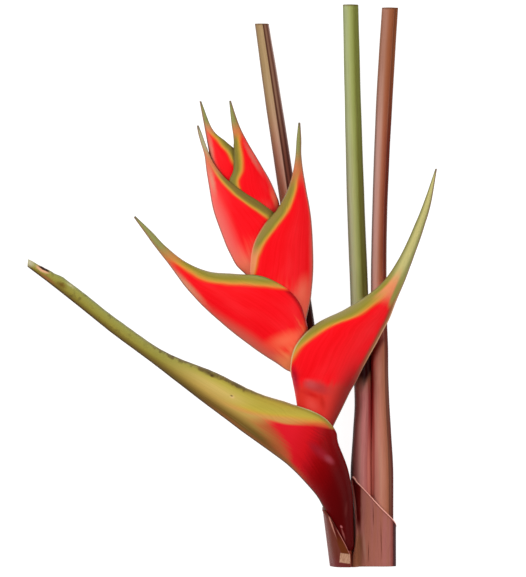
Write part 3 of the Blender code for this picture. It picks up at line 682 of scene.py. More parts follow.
def wear_lips(outer, inner, places):
    """Moves the lips of the oldest bract in and out a little, with one knob near its tip."""
    lip, keel = outer[:, 0, :2].copy(), outer[:, FLANK_STEPS, :2]
    way = (lip - keel) / (norm(lip - keel, axis=1)[:, None] + 1e-9)
    at, half_width, size = LIP_KNOB
    amount = rough(outer[:, 0], WORN_SIZE, WORN_SEED) * WORN_LIP * ease(places, *WORN_ROWS)
    amount += size * np.exp(-((lip[:, 0] - at) / half_width) ** 2)
    near = ease(norm(outer[:, :, :2] - lip[:, None], axis=2), WORN_REACH, 0.0)
    shift = (amount[:, None] * near)[:, :, None] * way[:, None]
    outer[:, :, :2] += shift
    inner[:, :, :2] += shift


def build_bract(number, held_points, held_faces):
    """Builds one fine bract round the pieces that it holds and returns its points and faces."""
    outer, inner, ways, places = bract_grids(number)
    tree = BVHTree.FromPolygons(held_points.tolist(), held_faces)
    lay_over(outer, inner, tree)
    faces = bract_faces()
    work_free(outer, inner, ways, faces, rest_of_bract, tree)
    swell = sum(rough(outer, size, number + seed) * height for size, height, seed in SWELLS)
    swell *= ease(places, 0.0, 1.0)[:, None] * np.minimum(1, (places[-1] - places) / 2)[:, None]
    outer += ways * swell[:, :, None]
    press_marks(outer, inner, MARKS.get(number, []))
    readings = bract_readings(number, outer, places)
    if number == 1:
        wear_lips(outer, inner, places)
    points = np.concatenate([listed(outer), listed(inner), rest_of_bract(outer, inner)])
    stored = {key: spread(grid) for key, grid in readings.items()}
    count = len(listed(outer))
    stored["inside"] = np.zeros(len(points))
    stored["inside"][count:2 * count] = 1
    stored["inside"][-2] = 1
    faces = outward(points, faces)
    material = old_bract_material() if number == 1 else bract_material(number)
    make_piece("bract_%d" % number, points, faces, stored, [material])
    return points, faces


# Rods

def ring_stack(rings, cap_rings):
    """Faces of a stack of rings with rounded, flat ends. Returns points, faces and end faces."""
    steps, sides = rings.shape[:2]
    corners = []
    for i in range(steps - 1):
        for j in range(sides):
            k = (j + 1) % sides
            corners.append((i * sides + j, i * sides + k, (i + 1) * sides + k, (i + 1) * sides + j))
    first_cap = cap_rings * sides
    last_cap = (steps - 1 - cap_rings) * sides
    points = np.concatenate([rings.reshape(-1, 3), [rings[0].mean(axis=0), rings[-1].mean(axis=0)]])
    low, high = steps * sides, steps * sides + 1
    for j in range(sides):
        k = (j + 1) % sides
        corners.append((k, j, low))
        corners.append(((steps - 1) * sides + j, (steps - 1) * sides + k, high))
    ends = [index for index, face in enumerate(corners)
            if max(i for i in face if i < low) < first_cap + sides and min(face) < first_cap
            or min(face) >= last_cap]
    return points, corners, ends


def capped(rings):
    """Adds rings that round the rim of both ends and run in over the cut face."""
    def cap(ring):
        middle = ring.mean(axis=0)
        radius = norm(ring - middle, axis=1).mean()
        turns = np.linspace(0, math.pi / 2, ROUNDING_RINGS)[1:]
        scales = [1 - END_ROUNDING * (1 - math.cos(turn)) / radius for turn in turns]
        made = [middle + (ring - middle) * scale for scale in scales]
        edge = made[-1]
        shares = np.linspace(1, CAP_CORE, CAP_RINGS)[1:]
        return made + [middle + (edge - middle) * share for share in shares]

    end = cap(rings[-1])
    return np.array([*cap(rings[0])[::-1], *rings, *end]), len(end)


def closed_rod(rings, girth):
    """Closes a stack of rings: points, faces, cut faces, and what the materials read there."""
    rings, cap_rings = capped(rings)
    points, faces, ends = ring_stack(rings, cap_rings)
    steps = len(rings)
    middles = np.repeat(rings.mean(axis=1), ROD_SIDES, axis=0)
    grain = np.column_stack([np.tile(np.cos(ROUND), steps) * girth, points[:-2, 1] * ROD_GRAIN,
                             np.tile(np.sin(ROUND), steps) * girth])
    readings = dict(height=points[:, 1], reach=np.append(norm(points[:-2] - middles, axis=1), [0, 0]),
                    grain=np.vstack([grain, np.zeros((2, 3))]))
    return points, outward(points, quads(faces)), ends, readings


def build_rod(name, materials, seed):
    """A leaf stalk: a grooved, lightly ribbed rod with cut ends."""
    rows = PETIOLES[name]
    off = (ROUND - GROOVE_AT[name] + math.pi) % (2 * math.pi) - math.pi
    dip = 1 - GROOVE_DEPTH * np.exp(-(off / GROOVE_SPREAD) ** 2)
    rings = []
    shift, widening = CLOSING.get(name, (0, 0))
    for x, y, z, wide, high in smooth_through(rows, np.linspace(0, len(rows) - 1, ROD_STEPS)):
        close = float(ease(y, CLOSED_FROM, CLOSED_FROM - CLOSED_OVER))
        snug = SNUG[2] * math.exp(-((y - SNUG[0]) / SNUG[1]) ** 2) if shift else 0.0
        x, wide = x + shift * close, wide + widening * close + snug
        rings.append(np.column_stack([x + wide * np.cos(ROUND) * dip, np.full(ROD_SIDES, y),
                                      z + high * np.sin(ROUND) * dip]))
    rings = np.array(rings)
    centre = rings.mean(axis=1, keepdims=True)
    radius, size, height = ROD_RIBS
    circle = np.stack([np.cos(ROUND) * radius, np.sin(ROUND) * radius, ROUND * 0], axis=1)
    uneven = 1 + rough(circle, size, seed) * height + rough(rings, ROD_WAVES[0], seed) * ROD_WAVES[1]
    rings = centre + (rings - centre) * uneven[:, :, None] * ROD_SIZE
    rings[:, :, 1] = centre[:, :, 1]
    points, faces, ends, readings = closed_rod(rings, LEAF_GIRTH)
    steps = len(points) // ROD_SIDES
    readings.update(side=np.append(np.tile(np.cos(ROUND), steps), [0, 0]), plan=points,
                    groove=np.append(np.tile(np.abs(off), steps), [3, 3]))
    make_piece(name, points, faces, readings, materials, ends)
    return points, faces


def build_stalk(materials):
    """The flower stalk, with its rings square to its own path."""
    rows = smooth_through(STALK, np.linspace(0, len(STALK) - 1, STALK_STEPS))
    rings = []
    for index, (x, y, z, radius) in enumerate(rows):
        along = rows[min(index + 1, len(rows) - 1), :2] - rows[max(index - 1, 0), :2]
        across = np.array([along[1], -along[0]]) / norm(along) if index else np.array([1.0, 0.0])
        flat = np.array([x, y]) + np.outer(np.cos(ROUND) * radius, across)
        rings.append(np.column_stack([flat, z + radius * np.sin(ROUND)]))
    points, faces, ends, readings = closed_rod(np.array(rings), STALK_GIRTH)
    make_piece("stalk", points, faces, readings, materials, ends)
    return points, faces


# Sheaths

def sheath_grid(columns):
    """Fine outer grid of a sheath from its upper margin down to the cut."""
    places = np.linspace(0, len(columns) - 1, (len(columns) - 1) * SHEATH_FINER + 1)
    fine = smooth_through(columns, places)
    foot = np.column_stack([fine[:, 3], np.full(len(fine), CUT_Y), fine[:, 4]])
    return np.array([fine[:, :3] * (1 - part) + foot * part for part in np.linspace(0, 1, SHEATH_ROWS)])


def sheath_faces(rows, wide):
    """Faces of a sheath: outer wall, inner wall and the margin all round."""
    count = rows * wide
    corners = []
    for i in range(rows - 1):
        for j in range(wide - 1):
            a, b = i * wide + j, (i + 1) * wide + j
            corners.append((a, b, b + 1, a + 1))
            corners.append((count + a, count + a + 1, count + b + 1, count + b))
    loop = [(0, j) for j in range(wide)] + [(i, wide - 1) for i in range(1, rows)]
    loop += [(rows - 1, j) for j in range(wide - 2, -1, -1)] + [(i, 0) for i in range(rows - 2, 0, -1)]
    edge = [i * wide + j for i, j in loop]
    for here, after in zip(edge, edge[1:] + edge[:1]):
        corners.append((here, after, count + after, count + here))
    return quads(corners)


def grid_normals(grid, centre):
    """Unit normals of a grid that point away from a centre line along Y."""
    normal = np.cross(np.gradient(grid, axis=0), np.gradient(grid, axis=1))
    normal /= norm(normal, axis=2)[:, :, None]
    away = grid - np.array(centre)
    flip = np.sign((normal * away)[:, :, [0, 2]].sum(axis=2).sum())
    return normal * flip


def build_sheath(name, columns, held, material, seed):
    """A thin curved sheet wrapped round leaf stalks, with a rounded margin."""
    outer = sheath_grid(columns)
    ways = grid_normals(outer, SHEATH_CENTRES[name])
    ways[:, :, 1] = 0
    ways /= norm(ways, axis=2)[:, :, None]
    inner = outer - ways * SHEATH_WALL
    rows, wide = outer.shape[:2]
    count = rows * wide
    faces = sheath_faces(rows, wide)
    tree = BVHTree.FromPolygons(held[0].tolist(), held[1])
    work_free(outer, inner, ways, faces, lambda *_: np.empty((0, 3)), tree, SHEATH_PUSHES, SHEATH_PUSH)
    down = arc_from(outer, 0, 0)
    bead = BEAD * np.exp(-((down - BEAD_AT) / BEAD_REACH) ** 2)
    size, along, height = SHEATH_RIBS
    outer += ways * (rough(outer * (1, along, 1), size, seed) * height + bead)[:, :, None]
    points = np.concatenate([listed(outer), listed(inner)])
    column = np.broadcast_to(np.arange(wide) / SHEATH_FINER, (rows, wide))
    grids = dict(column=column, down=down, grain=outer * (1, SHEATH_STREAKS, 1), plan=outer)
    readings = {key: np.concatenate([listed(grid)] * 2) for key, grid in grids.items()}
    readings["inside"] = np.repeat([0, 1], count)
    faces = outward(points, faces)
    make_piece(name, points, faces, readings, [material])
    return points, faces


def joined(*solids):
    """One set of points and faces out of several."""
    points, faces, start = [], [], 0
    for own_points, own_faces in solids:
        points.append(own_points)
        faces += [tuple(start + index for index in face) for face in own_faces]
        start += len(own_points)
    return np.concatenate(points), faces


# Materials

def tone(shade):
    """A colour given as three numbers from 0 to 255 on screen, as the shader needs it."""
    parts = np.array(shade) / 255
    linear = np.where(parts <= 0.04045, parts / 12.92, ((parts + 0.055) / 1.055) ** 2.4)
    return (*linear.tolist(), 1.0)


class Paint:
    """Builds the nodes of one material and keeps the colour laid so far.

    A value is a node's output, the name of a reading stored on the points, or plain. A colour is
    a node's output, three numbers from 0 to 255, or four as the shader needs them. Places in the
    plan are in millimetres.
    """

    def __init__(self, name, shine, ragged=(0.8, 3.0)):
        self.material = bpy.data.materials.new(name)
        self.material.use_nodes = True
        self.tree = self.material.node_tree
        self.shader = self.tree.nodes["Principled BSDF"]
        self.shader.inputs["Specular IOR Level"].default_value = shine
        self.ragged = ragged
        self.plan = None
        self.colour = None

    def put(self, socket, value):
        """Links a node's output or a reading to a socket, or sets the socket to a plain value."""
        if isinstance(value, str):
            kind = "Vector" if socket.type == "VECTOR" else "Fac"
            value = self.add("Attribute", attribute_name=value).outputs[kind]
        if isinstance(value, bpy.types.NodeSocket):
            self.tree.links.new(value, socket)
        elif socket.type == "RGBA" and len(value) == 3:
            socket.default_value = tone(value)
        else:
            socket.default_value = value

    def add(self, kind, inputs=(), **settings):
        """Adds a node, sets it up and fills its inputs."""
        node = self.tree.nodes.new("ShaderNode" + kind)
        for key, value in settings.items():
            setattr(node, key, value)
        for key, value in dict(inputs).items():
            self.put(node.inputs[key], value)
        return node

    def math(self, operation, first, second=0.0):
        """One step of arithmetic."""
        return self.add("Math", {0: first, 1: second}, operation=operation).outputs[0]

    def plus(self, first, second):
        """The sum of two numbers."""
        return self.math("ADD", first, second)

    def both(self, first, second):
        """The product of two numbers: where two masks overlap."""
        return self.math("MULTIPLY", first, second)

    def share(self, value, low, length):
        """How much of a length a value has covered from low on."""
        return self.math("DIVIDE", self.math("SUBTRACT", value, low), length)

    def span(self, value, low, high, start=0.0, end=1.0):
        """Goes smoothly from start at low to end at high, also where low is the larger."""
        if low > high:
            low, high, start, end = high, low, end, start
        inputs = {"Value": value, "From Min": low, "From Max": high, "To Min": start, "To Max": end}
        return self.add("MapRange", inputs, interpolation_type="SMOOTHSTEP").outputs[0]

    def rows(self, start, end, fade=0.5):
        """1 between two rows of a bract, with soft ends."""
        return self.both(self.span("row", start - fade, start), self.span("row", end + fade, end))

    def scaled(self, vector, x, y, z):
        """A vector times three numbers."""
        return self.add("VectorMath", {0: vector, 1: (x, y, z)}, operation="MULTIPLY").outputs[0]

    def parts(self, vector):
        """The three numbers of a vector."""
        return self.add("SeparateXYZ", {0: vector}).outputs

    def noise(self, vector, size=1.0, detail=3.0, coarse=0.5):
        """Noise from about 0 to 1, with features of the given size."""
        inputs = {"Vector": vector, "Scale": 1 / size, "Detail": detail, "Roughness": coarse}
        return self.add("TexNoise", inputs).outputs["Fac"]

    def streaks(self, along, across, detail=2.0, coarse=0.5):
        """Noise drawn out along a bract: the smaller along is, the longer the streaks."""
        return self.noise(self.scaled("grain", along, across, 1.0), 1.0, detail, coarse)

    def mix(self, share, first, second):
        """Blends two colours, which are the node's inputs 6 and 7."""
        return self.add("Mix", {"Factor": share, 6: first, 7: second}, data_type="RGBA").outputs[2]

    def lay(self, share, shade):
        """Lays a colour over what is there."""
        self.colour = self.mix(share, self.colour, shade)

    def tint(self, shade, *masks):
        """Lays a colour where all masks overlap. A tuple stands for what span reads."""
        masks = [self.span(*mask) if isinstance(mask, tuple) else mask for mask in masks]
        self.lay(functools.reduce(self.both, masks), shade)

    def ramp(self, value, stops):
        """A row of colours along a value from 0 to 1."""
        node = self.add("ValToRGB", {"Fac": value})
        marks = node.color_ramp.elements
        for mark, (at, shade) in zip(marks, (stops[0], stops[-1])):
            mark.position, mark.color = at, tone(shade)
        for at, shade in stops[1:-1]:
            marks.new(at).color = tone(shade)
        return node.outputs["Color"]

    def in_plan(self):
        """The place in the plan, shifted a little by noise, so that dabs get uneven edges."""
        if self.plan is None:
            reach, size = self.ragged
            shift = self.add("TexNoise", {"Vector": "plan", "Scale": 1 / size}).outputs["Color"]
            added = {0: shift, 1: (reach, reach, 0), 2: "plan"}
            moved = self.add("VectorMath", added, operation="MULTIPLY_ADD")
            half = {0: moved.outputs[0], 1: (reach / 2, reach / 2, 0)}
            self.plan = self.add("VectorMath", half, operation="SUBTRACT").outputs[0]
        return self.plan

    def in_patch(self, x, y, half_length, half_width, turn):
        """The place in the plan as seen from a patch, with its edge at 1."""
        inputs = {"Vector": self.in_plan(), "Location": (x, y, 0), "Rotation": (0, 0, turn),
                  "Scale": (half_length, half_width, FLAT)}
        return self.add("Mapping", inputs, vector_type="TEXTURE").outputs[0]

    def dab(self, x, y, half_length, half_width, turn, soft, shade):
        """Lays a colour over an ellipse in the plan, fading to nothing at its edge."""
        inside = self.in_patch(x, y, half_length, half_width, turn)
        away = self.add("VectorMath", {0: inside}, operation="LENGTH").outputs["Value"]
        self.tint(shade, (away, 1.0, 1.0 - soft))

    def dabs(self, rows):
        """Lays several dabs, one over the other."""
        for row in rows:
            self.dab(*row)

    def block(self, x, y, half_length, half_width, turn, soft, shade):
        """Lays a colour over a rectangle in the plan, fading to nothing at its edge."""
        away = self.parts(self.in_patch(x, y, half_length, half_width, turn))
        sides = [self.math("ABSOLUTE", away[index]) for index in (0, 1)]
        self.tint(shade, (self.math("MAXIMUM", *sides), 1.0, 1.0 - soft))

    def line(self, start, end, half_width, soft, shade):
        """Lays a thin line between two places in the plan, thinner towards its ends."""
        run = end[0] - start[0], end[1] - start[1]
        middle = (start[0] + end[0]) / 2, (start[1] + end[1]) / 2
        self.dab(*middle, math.hypot(*run) / 2, half_width, math.atan2(run[1], run[0]), soft, shade)

    def bump(self, height, distance, strength):
        """Turns a height into a normal."""
        inputs = {"Distance": distance, "Strength": strength, "Height": height}
        return self.add("Bump", inputs).outputs[0]

    def finish(self, roughness, normal=None):
        """Connects the colour, roughness and normal to the shader."""
        self.put(self.shader.inputs["Base Color"], self.colour)
        self.put(self.shader.inputs["Roughness"], roughness)
        if normal is not None:
            self.put(self.shader.inputs["Normal"], normal)
        return self.material

    def skin(self, fine, smooth, dull, distance, strength):
        """Finishes a skin whose streaks also vary its roughness and raise it."""
        return self.finish(self.span(fine, 0.2, 0.8, smooth, dull), self.bump(fine, distance, strength))


def along_band(paint, past, low, high, stops):
    """A row of colours laid across a band: from low to high millimetres past its edge."""
    part = paint.share(past, low, high - low)
    return paint.ramp(part, [((at - low) / (high - low), shade) for at, shade in stops])


# What sets one upper bract apart from the next. In rows: where its tube ends, and where it has a
# yellow mouth, a fold darkened with painted shade and a pale lip. In mm: the reach of the keel
# blush along its keel, and from the tip where the red ends and the green starts. As colours: its
# tube, its keel blush, which is partly its own paler keel side and partly painted sheen, what lies
# between red and green, the greens of its tip, those of its band by the lip and in the middle,
# and its mouth and lip where they differ. As shares: crisp, which narrows the edge of the band,
# and the share of the keel blush. Its painted highlights, painted sheen and painted shade are
# dabs: x, y, half length, half width, turn, softness and colour.
LOOKS = {
    2: dict(crisp=0.85, tube=(222, 50, 40), tube_rows=(4.2, 3.2),
            keel_blush_and_sheen=(236, 84, 78), reach=4.0, share=0.4,
            red_ends=(106.0, 90.0), green_from=(90.0, 70.0), between=(236, 144, 98),
            olive=((150, 142, 78), (148, 140, 48)), pale_lip=(4.8, 6.6),
            painted_light_and_shade=[(43.3, -65.0, 15.0, 4.6, -1.41, 1.0, (184, 8, 44)),
                   (59.5, -70.4, 14.0, 7.0, -0.35, 1.0, (196, 54, 56)),
                   (54.6, -68.9, 7.5, 4.6, -0.3, 1.0, (204, 70, 72)),
                   (54.5, -75.4, 11.0, 3.0, -0.35, 1.0, (204, 22, 16)),
                   (62.8, -81.0, 8.0, 3.0, -1.3, 1.0, (208, 34, 24)),
                   (55.6, -83.0, 9.0, 6.0, -0.8, 1.0, (230, 70, 60))]),
    3: dict(crisp=1.0, tube=(255, 138, 86), tube_rows=(4.8, 3.1),
            keel_blush_and_sheen=(214, 104, 86), reach=11.0, share=0.85,
            red_ends=(49.0, 37.0), green_from=(46.0, 25.0), between=(214, 124, 64),
            olive=((150, 146, 76), (146, 136, 46)), mouth=(6.9, 5.9), fold_shade=(4.3, 6.0),
            painted_light_and_shade=[(37.0, -38.0, 21.0, 9.0, 0.3, 1.0, (252, 104, 72)),
                   (-32.0, 0.5, 27.0, 4.0, -0.8, 1.0, (224, 138, 104))]),
    4: dict(crisp=1.3, tube=(244, 116, 92), tube_rows=(4.9, 1.6),
            keel_blush_and_sheen=(214, 88, 78), reach=4.0, share=0.7,
            red_ends=(48.0, 30.0), green_from=(34.0, 17.0), between=(208, 116, 76),
            olive=((146, 128, 62), (140, 128, 50)), pale_lip=(5.0, 7.0),
            lip_shade=(244, 142, 112), mouth=(6.2, 5.4), mouth_shade=(242, 144, 100),
            painted_light_and_shade=[(49.0, -5.0, 18.0, 8.0, 1.4, 1.0, (248, 104, 80))]),
    5: dict(crisp=1.3, tube=(252, 124, 94), tube_rows=(5.0, 2.2),
            keel_blush_and_sheen=(246, 116, 108), reach=13.0, share=0.92,
            red_ends=(42.0, 26.0), green_from=(27.0, 13.0), between=(214, 122, 84),
            olive=((124, 104, 46), (138, 116, 48)), green=((160, 154, 110), (184, 176, 140)),
            painted_light_and_shade=[(-14.4, 74.0, 17.0, 3.0, -1.35, 1.0, (228, 138, 116))]),
    6: dict(crisp=1.5, tube=(250, 70, 62), tube_rows=(5.0, 2.4),
            keel_blush_and_sheen=(240, 88, 80), reach=4.5, share=0.6,
            red_ends=(30.0, 21.0), green_from=(24.0, 13.0), between=(214, 116, 70),
            olive=((130, 118, 54), (138, 126, 50)),
            painted_light_and_shade=[(29.8, 60.0, 12.0, 3.2, -1.17, 1.0, (244, 104, 76)),
                   (14.0, 90.0, 20.0, 2.6, -1.07, 1.0, (228, 104, 90))]),
    7: dict(crisp=1.5, tube=(236, 100, 68), tube_rows=(2.0, 1.0),
            keel_blush_and_sheen=(246, 104, 92), reach=5.5, share=0.9,
            red_ends=(27.0, 19.0), green_from=(23.0, 13.0), between=(224, 130, 96),
            olive=((124, 112, 56), (136, 122, 50)),
            painted_light_and_shade=[(-14.7, 89.3, 22.0, 2.8, -1.48, 1.0, (228, 136, 114))]),
}
TIP_GREEN = ((132, 132, 74), (154, 152, 90))
MOUTH_SHADE = (208, 142, 66)
LIP_SHADE = (214, 186, 138)


def lay_red(paint, look, fine):
    """The red of an upper bract, with its keel blush and painted sheen, its tube and painted shade in
    its fold.
    """
    paint.colour = paint.mix(paint.span(fine, 0.3, 0.75), (248, 5, 17), (255, 16, 30))
    paint.tint((255, 52, 58), (paint.streaks(0.03, 0.08), 0.45, 0.8, 0.0, 0.3))
    reach = paint.plus("from_keel", paint.span("row", 5.6, 8.0, 0.0, look["reach"] * 0.4))
    # Paler keel side, partly its own colour and partly painted sheen.
    paint.tint(look["keel_blush_and_sheen"], (reach, look["reach"], 0.8, 0.0, look["share"]))
    row = paint.plus("row", paint.span(paint.streaks(0.02, 0.3), 0.3, 0.7, -0.35, 0.35))
    paint.tint(look["tube"], (row, *look["tube_rows"], 0.0, 0.92))
    # Painted shade in the fold where the lip curls over the bract within.
    if "fold_shade" in look:
        paint.tint((150, 4, 12), paint.rows(*look["fold_shade"], 0.9), ("from_lip", 3.4, 0.4, 0.0, 0.75))


def lay_band(paint, look):
    """The green band of an upper bract, with its soft yellow and orange edge."""
    wander = paint.span(paint.streaks(0.06, 0.1), 0.2, 0.8, -0.5, 0.5)
    past = paint.both(paint.plus("past_band", wander), look["crisp"])
    by_lip, olive = look["olive"]
    band = along_band(paint, past, -8.0, 4.0, [
        (-7.0, by_lip), (-3.6, olive), (-1.8, (178, 148, 52)), (-0.5, (214, 150, 58)),
        (0.6, (238, 118, 50)), (1.8, (240, 62, 28)), (3.6, (252, 18, 22))])
    fine = paint.streaks(0.03, 1.2, 4.0, 0.6)
    band = paint.mix(paint.span(fine, 0.35, 0.75, 0.0, 0.16), band, (84, 66, 28))
    if "mouth" in look:
        mouth = paint.both(paint.span("row", *look["mouth"]), paint.span(past, 0.6, -1.0, 0.0, 0.85))
        band = paint.mix(mouth, band, look.get("mouth_shade", MOUTH_SHADE))
    paint.tint(band, (past, 3.8, 1.8))


def lay_tip(paint, look, fine, second):
    """The fading of the red into the green tip, which the second bract also has on its keel side."""
    inner_only = [("from_lip", 2.5, 5.0)] if second else []
    paint.tint(look["between"], ("to_tip", *look["red_ends"], 0.0, 0.92), *inner_only)
    green = paint.mix(paint.span(fine, 0.3, 0.7), *look.get("green", TIP_GREEN))
    if second:
        centre = paint.both(paint.span("across", 0.1, 0.4), paint.span("across", 0.95, 0.6))
        green = paint.mix(centre, green, (200, 190, 122))
        # Painted shade along the second bract's keel edge.
        paint.tint((146, 44, 28), ("from_keel", 5.0, 1.2, 0.0, 0.9), paint.rows(4.4, 9.0, 0.8))
        paint.tint((152, 144, 70), ("from_keel", 5.6, 3.4), ("to_tip", 108.0, 96.0))
    else:
        green = paint.mix(paint.span("across", 0.5, 0.1, 0.0, 0.6), green, (166, 128, 72))
    paint.tint(green, ("to_tip", *look["green_from"]))
    paint.tint((116, 112, 92), ("to_tip", 5.0, 1.0, 0.0, 0.8))


def lay_edges(paint, look, second):
    """The thin lines along the keel and the lips of an upper bract."""
    paint.tint((134, 92, 72), ("from_keel", 1.2, 0.3, 0.0, 0.8))
    if second:
        rows = paint.rows(6.2, 8.2, 1.8)
        paint.tint((146, 88, 44), ("from_keel", 2.9, 1.6, 0.0, 0.9), rows)
        paint.tint((190, 134, 92), ("from_keel", 1.3, 0.5), rows)
    if "pale_lip" in look:
        shade = look.get("lip_shade", LIP_SHADE)
        paint.tint(shade, paint.rows(*look["pale_lip"]), ("from_lip", 1.0, 0.3, 0.0, 0.7))
    paint.tint((92, 84, 44), ("from_lip", 0.9, 0.1, 0.0, 0.5), ("row", 5.6, 7.0))


def bract_material(number):
    """Waxy red flanks with a green band along the lip, for one upper bract."""
    look, second = LOOKS[number], number == 2
    paint = Paint("bract_red_%d" % number, 0.08)
    fine = paint.streaks(0.02, 1.0, 4.0, 0.6)
    lay_red(paint, look, fine)
    if second:
        # Painted shade on the keel side of the second bract's base.
        paint.tint((122, 22, 18), ("across", 0.4, 0.02, 0.0, 0.9), ("row", 6.2, 3.8))
    # Painted highlights, painted sheen and painted shade, laid as dabs.
    paint.dabs(look["painted_light_and_shade"])
    lay_band(paint, look)
    lay_tip(paint, look, fine, second)
    lay_edges(paint, look, second)
    paint.lay("inside", (214, 150, 96))
    return paint.skin(fine, 0.38, 0.48, 0.00015, 0.4)


# Dabs on the oldest bract: x, y, half length, half width, turn, softness, colour
OLD_SHEEN = [
    (61.0, -116.0, 15.0, 5.0, -0.73, 1.0, (158, 26, 40)),
    (67.4, -121.0, 6.4, 3.4, -0.73, 1.0, (158, 56, 68)),
]
# Painted highlights on the dark base near its foot.
PAINTED_FOOT_HIGHLIGHTS = [
    (76.2, -168.4, 1.5, 1.0, -0.8, 0.6, (176, 96, 96)),
    (79.5, -156.0, 8.0, 1.6, 1.5, 0.9, (96, 24, 22)),
]
OLD_ARM = [
    (-16.0, -61.0, 13.0, 3.0, -0.42, 1.0, (96, 84, 44)),
    (5.0, -70.0, 15.0, 3.0, -0.42, 1.0, (96, 84, 44)),
    (-0.2, -77.4, 2.6, 2.0, -0.4, 1.0, (222, 188, 126)),
    (-41.6, -49.3, 1.54, 0.91, -0.4, 1.0, (72, 52, 30)),
    (-14.4, -62.8, 2.42, 1.43, -0.4, 1.0, (72, 52, 30)),
    (-0.7, -76.6, 1.54, 0.91, -0.4, 1.0, (72, 52, 30)),
    (-114.0, 0.4, 6.0, 1.5, -0.62, 1.0, (182, 178, 128)),
    (-130.5, 5.4, 10.0, 1.8, -0.62, 1.0, (152, 98, 56)),
    (-120.4, 0.8, 6.0, 3.0, -0.5, 1.0, (112, 84, 30)),
]
OLD_TIP = [
    (-134.0, 11.6, 7.0, 2.2, -0.52, 0.6, (222, 168, 128)),
    # painted shadow in the slit between the lips
    (-132.9, 12.0, 5.8, 1.1, -0.5, 0.5, (48, 22, 16)),
    (-142.8, 16.4, 5.4, 4.0, -0.5, 1.0, (190, 182, 150)),
]


def lay_old_red(paint, fine):
    """The red part of the oldest bract: bright by its band, almost black towards its foot."""
    x, y, _ = paint.parts(paint.in_plan())
    slope = paint.plus(paint.plus(x, paint.both(y, -0.34)), paint.span(fine, 0.2, 0.8, 2.0, -2.0))
    paint.colour = paint.ramp(paint.share(slope, 77.0, 54.0), [
        (0.0, (226, 26, 40)), (0.22, (212, 18, 28)), (0.31, (188, 14, 25)), (0.42, (154, 4, 10)),
        (0.53, (132, 1, 5)), (0.76, (98, 1, 4)), (1.0, (82, 2, 3))])
    paint.dabs(OLD_SHEEN)
    paint.line((75.5, -167.0), (79.5, -180.0), 0.9, 0.8, (140, 70, 66))
    paint.dabs(PAINTED_FOOT_HIGHLIGHTS)


def lay_old_arm(paint, fine):
    """The arm of the oldest bract: olive and tan, with a dark keel and a worn upper margin."""
    near = paint.ramp("across", [
        (0.0, (74, 52, 20)), (0.13, (118, 88, 36)), (0.3, (190, 154, 78)), (0.55, (206, 178, 100)),
        (0.78, (184, 172, 74)), (1.0, (140, 130, 54))])
    far = paint.ramp("across", [
        (0.0, (70, 50, 18)), (0.16, (112, 90, 38)), (0.42, (148, 136, 56)), (0.8, (150, 148, 72)),
        (1.0, (132, 136, 96))])
    paint.colour = paint.mix(paint.span("row", 8.5, 9.9), near, far)
    broad = paint.span(paint.streaks(0.03, 0.1, 3.0), 0.4, 0.7)
    paint.tint(paint.mix(broad, (134, 140, 50), (176, 156, 84)), (fine, 0.45, 0.75, 0.0, 0.3))
    place = paint.scaled("plan", 1.0, 1.0, 0.0)
    blotch = paint.noise(place, 5.0, 3.0, 0.6)
    paint.tint((98, 84, 42), (blotch, 0.52, 0.7, 0.0, 0.55), ("row", 9.6, 11.0))
    reach = paint.plus("from_lip", paint.span(paint.noise(place, 4.0, 2.0), 0.3, 0.7, 2.4, -2.4))
    paint.tint((96, 80, 44), (reach, 4.2, 1.0, 0.0, 0.75), paint.rows(7.4, 9.9))
    paint.dabs(OLD_ARM)


def lay_old_band(paint, fine):
    """The band of the oldest bract, from green by the lip to the red flank."""
    band = along_band(paint, "past_band", -12.0, 8.0, [
        (-11.0, (182, 166, 66)), (-7.0, (192, 170, 66)), (-3.4, (208, 160, 62)),
        (-1.0, (222, 140, 62)), (1.4, (220, 106, 54)), (3.8, (220, 70, 46)), (7.0, (223, 40, 40))])
    tan = paint.both(paint.span("past_band", -6.0, -1.0), paint.span("row", 5.8, 6.6, 0.0, 0.85))
    band = paint.mix(tan, band, (208, 154, 84))
    band = paint.mix(paint.span("from_lip", 4.2, 0.8, 0.0, 0.8), band, (140, 126, 52))
    band = paint.mix(paint.span(fine, 0.35, 0.75, 0.0, 0.25), band, (150, 126, 44))
    past = paint.plus("past_band", paint.span("row", 6.3, 7.2, 0.0, 5.6))
    paint.tint(band, (past, 7.0, 3.4), ("row", 8.6, 7.4))


def old_bract_material():
    """The oldest bract: a long olive and tan arm with a deep red, almost black base."""
    paint = Paint("bract_old", 0.04)
    fine = paint.streaks(0.02, 1.0, 4.0, 0.6)
    lay_old_arm(paint, fine)
    arm = paint.colour
    lay_old_red(paint, fine)
    slant = paint.plus("row", paint.both("across", -6.9))
    slant = paint.plus(slant, paint.span(fine, 0.2, 0.8, -0.3, 0.3))
    paint.tint((186, 88, 50), (slant, 3.3, 4.5))
    on_arm = paint.both(paint.span(slant, 4.1, 5.9), paint.span("row", 3.8, 5.6))
    paint.lay(paint.math("MAXIMUM", on_arm, paint.span("row", 6.5, 7.4)), arm)
    paint.tint((140, 84, 34), ("from_keel", 5.0, 1.0, 0.0, 0.9), ("row", 2.6, 4.4))
    lay_old_band(paint, fine)
    paint.tint(arm, ("row", 7.4, 8.6))
    paint.tint((196, 186, 140), paint.rows(5.6, 8.2, 0.4), ("from_lip", 0.7, 0.2, 0.0, 0.7))
    paint.tint((66, 44, 18), ("from_keel", 1.3, 0.4, 0.0, 0.85))
    paint.dabs(OLD_TIP)
    paint.lay("inside", (222, 168, 140))
    return paint.skin(fine, 0.34, 0.46, 0.0002, 0.4)
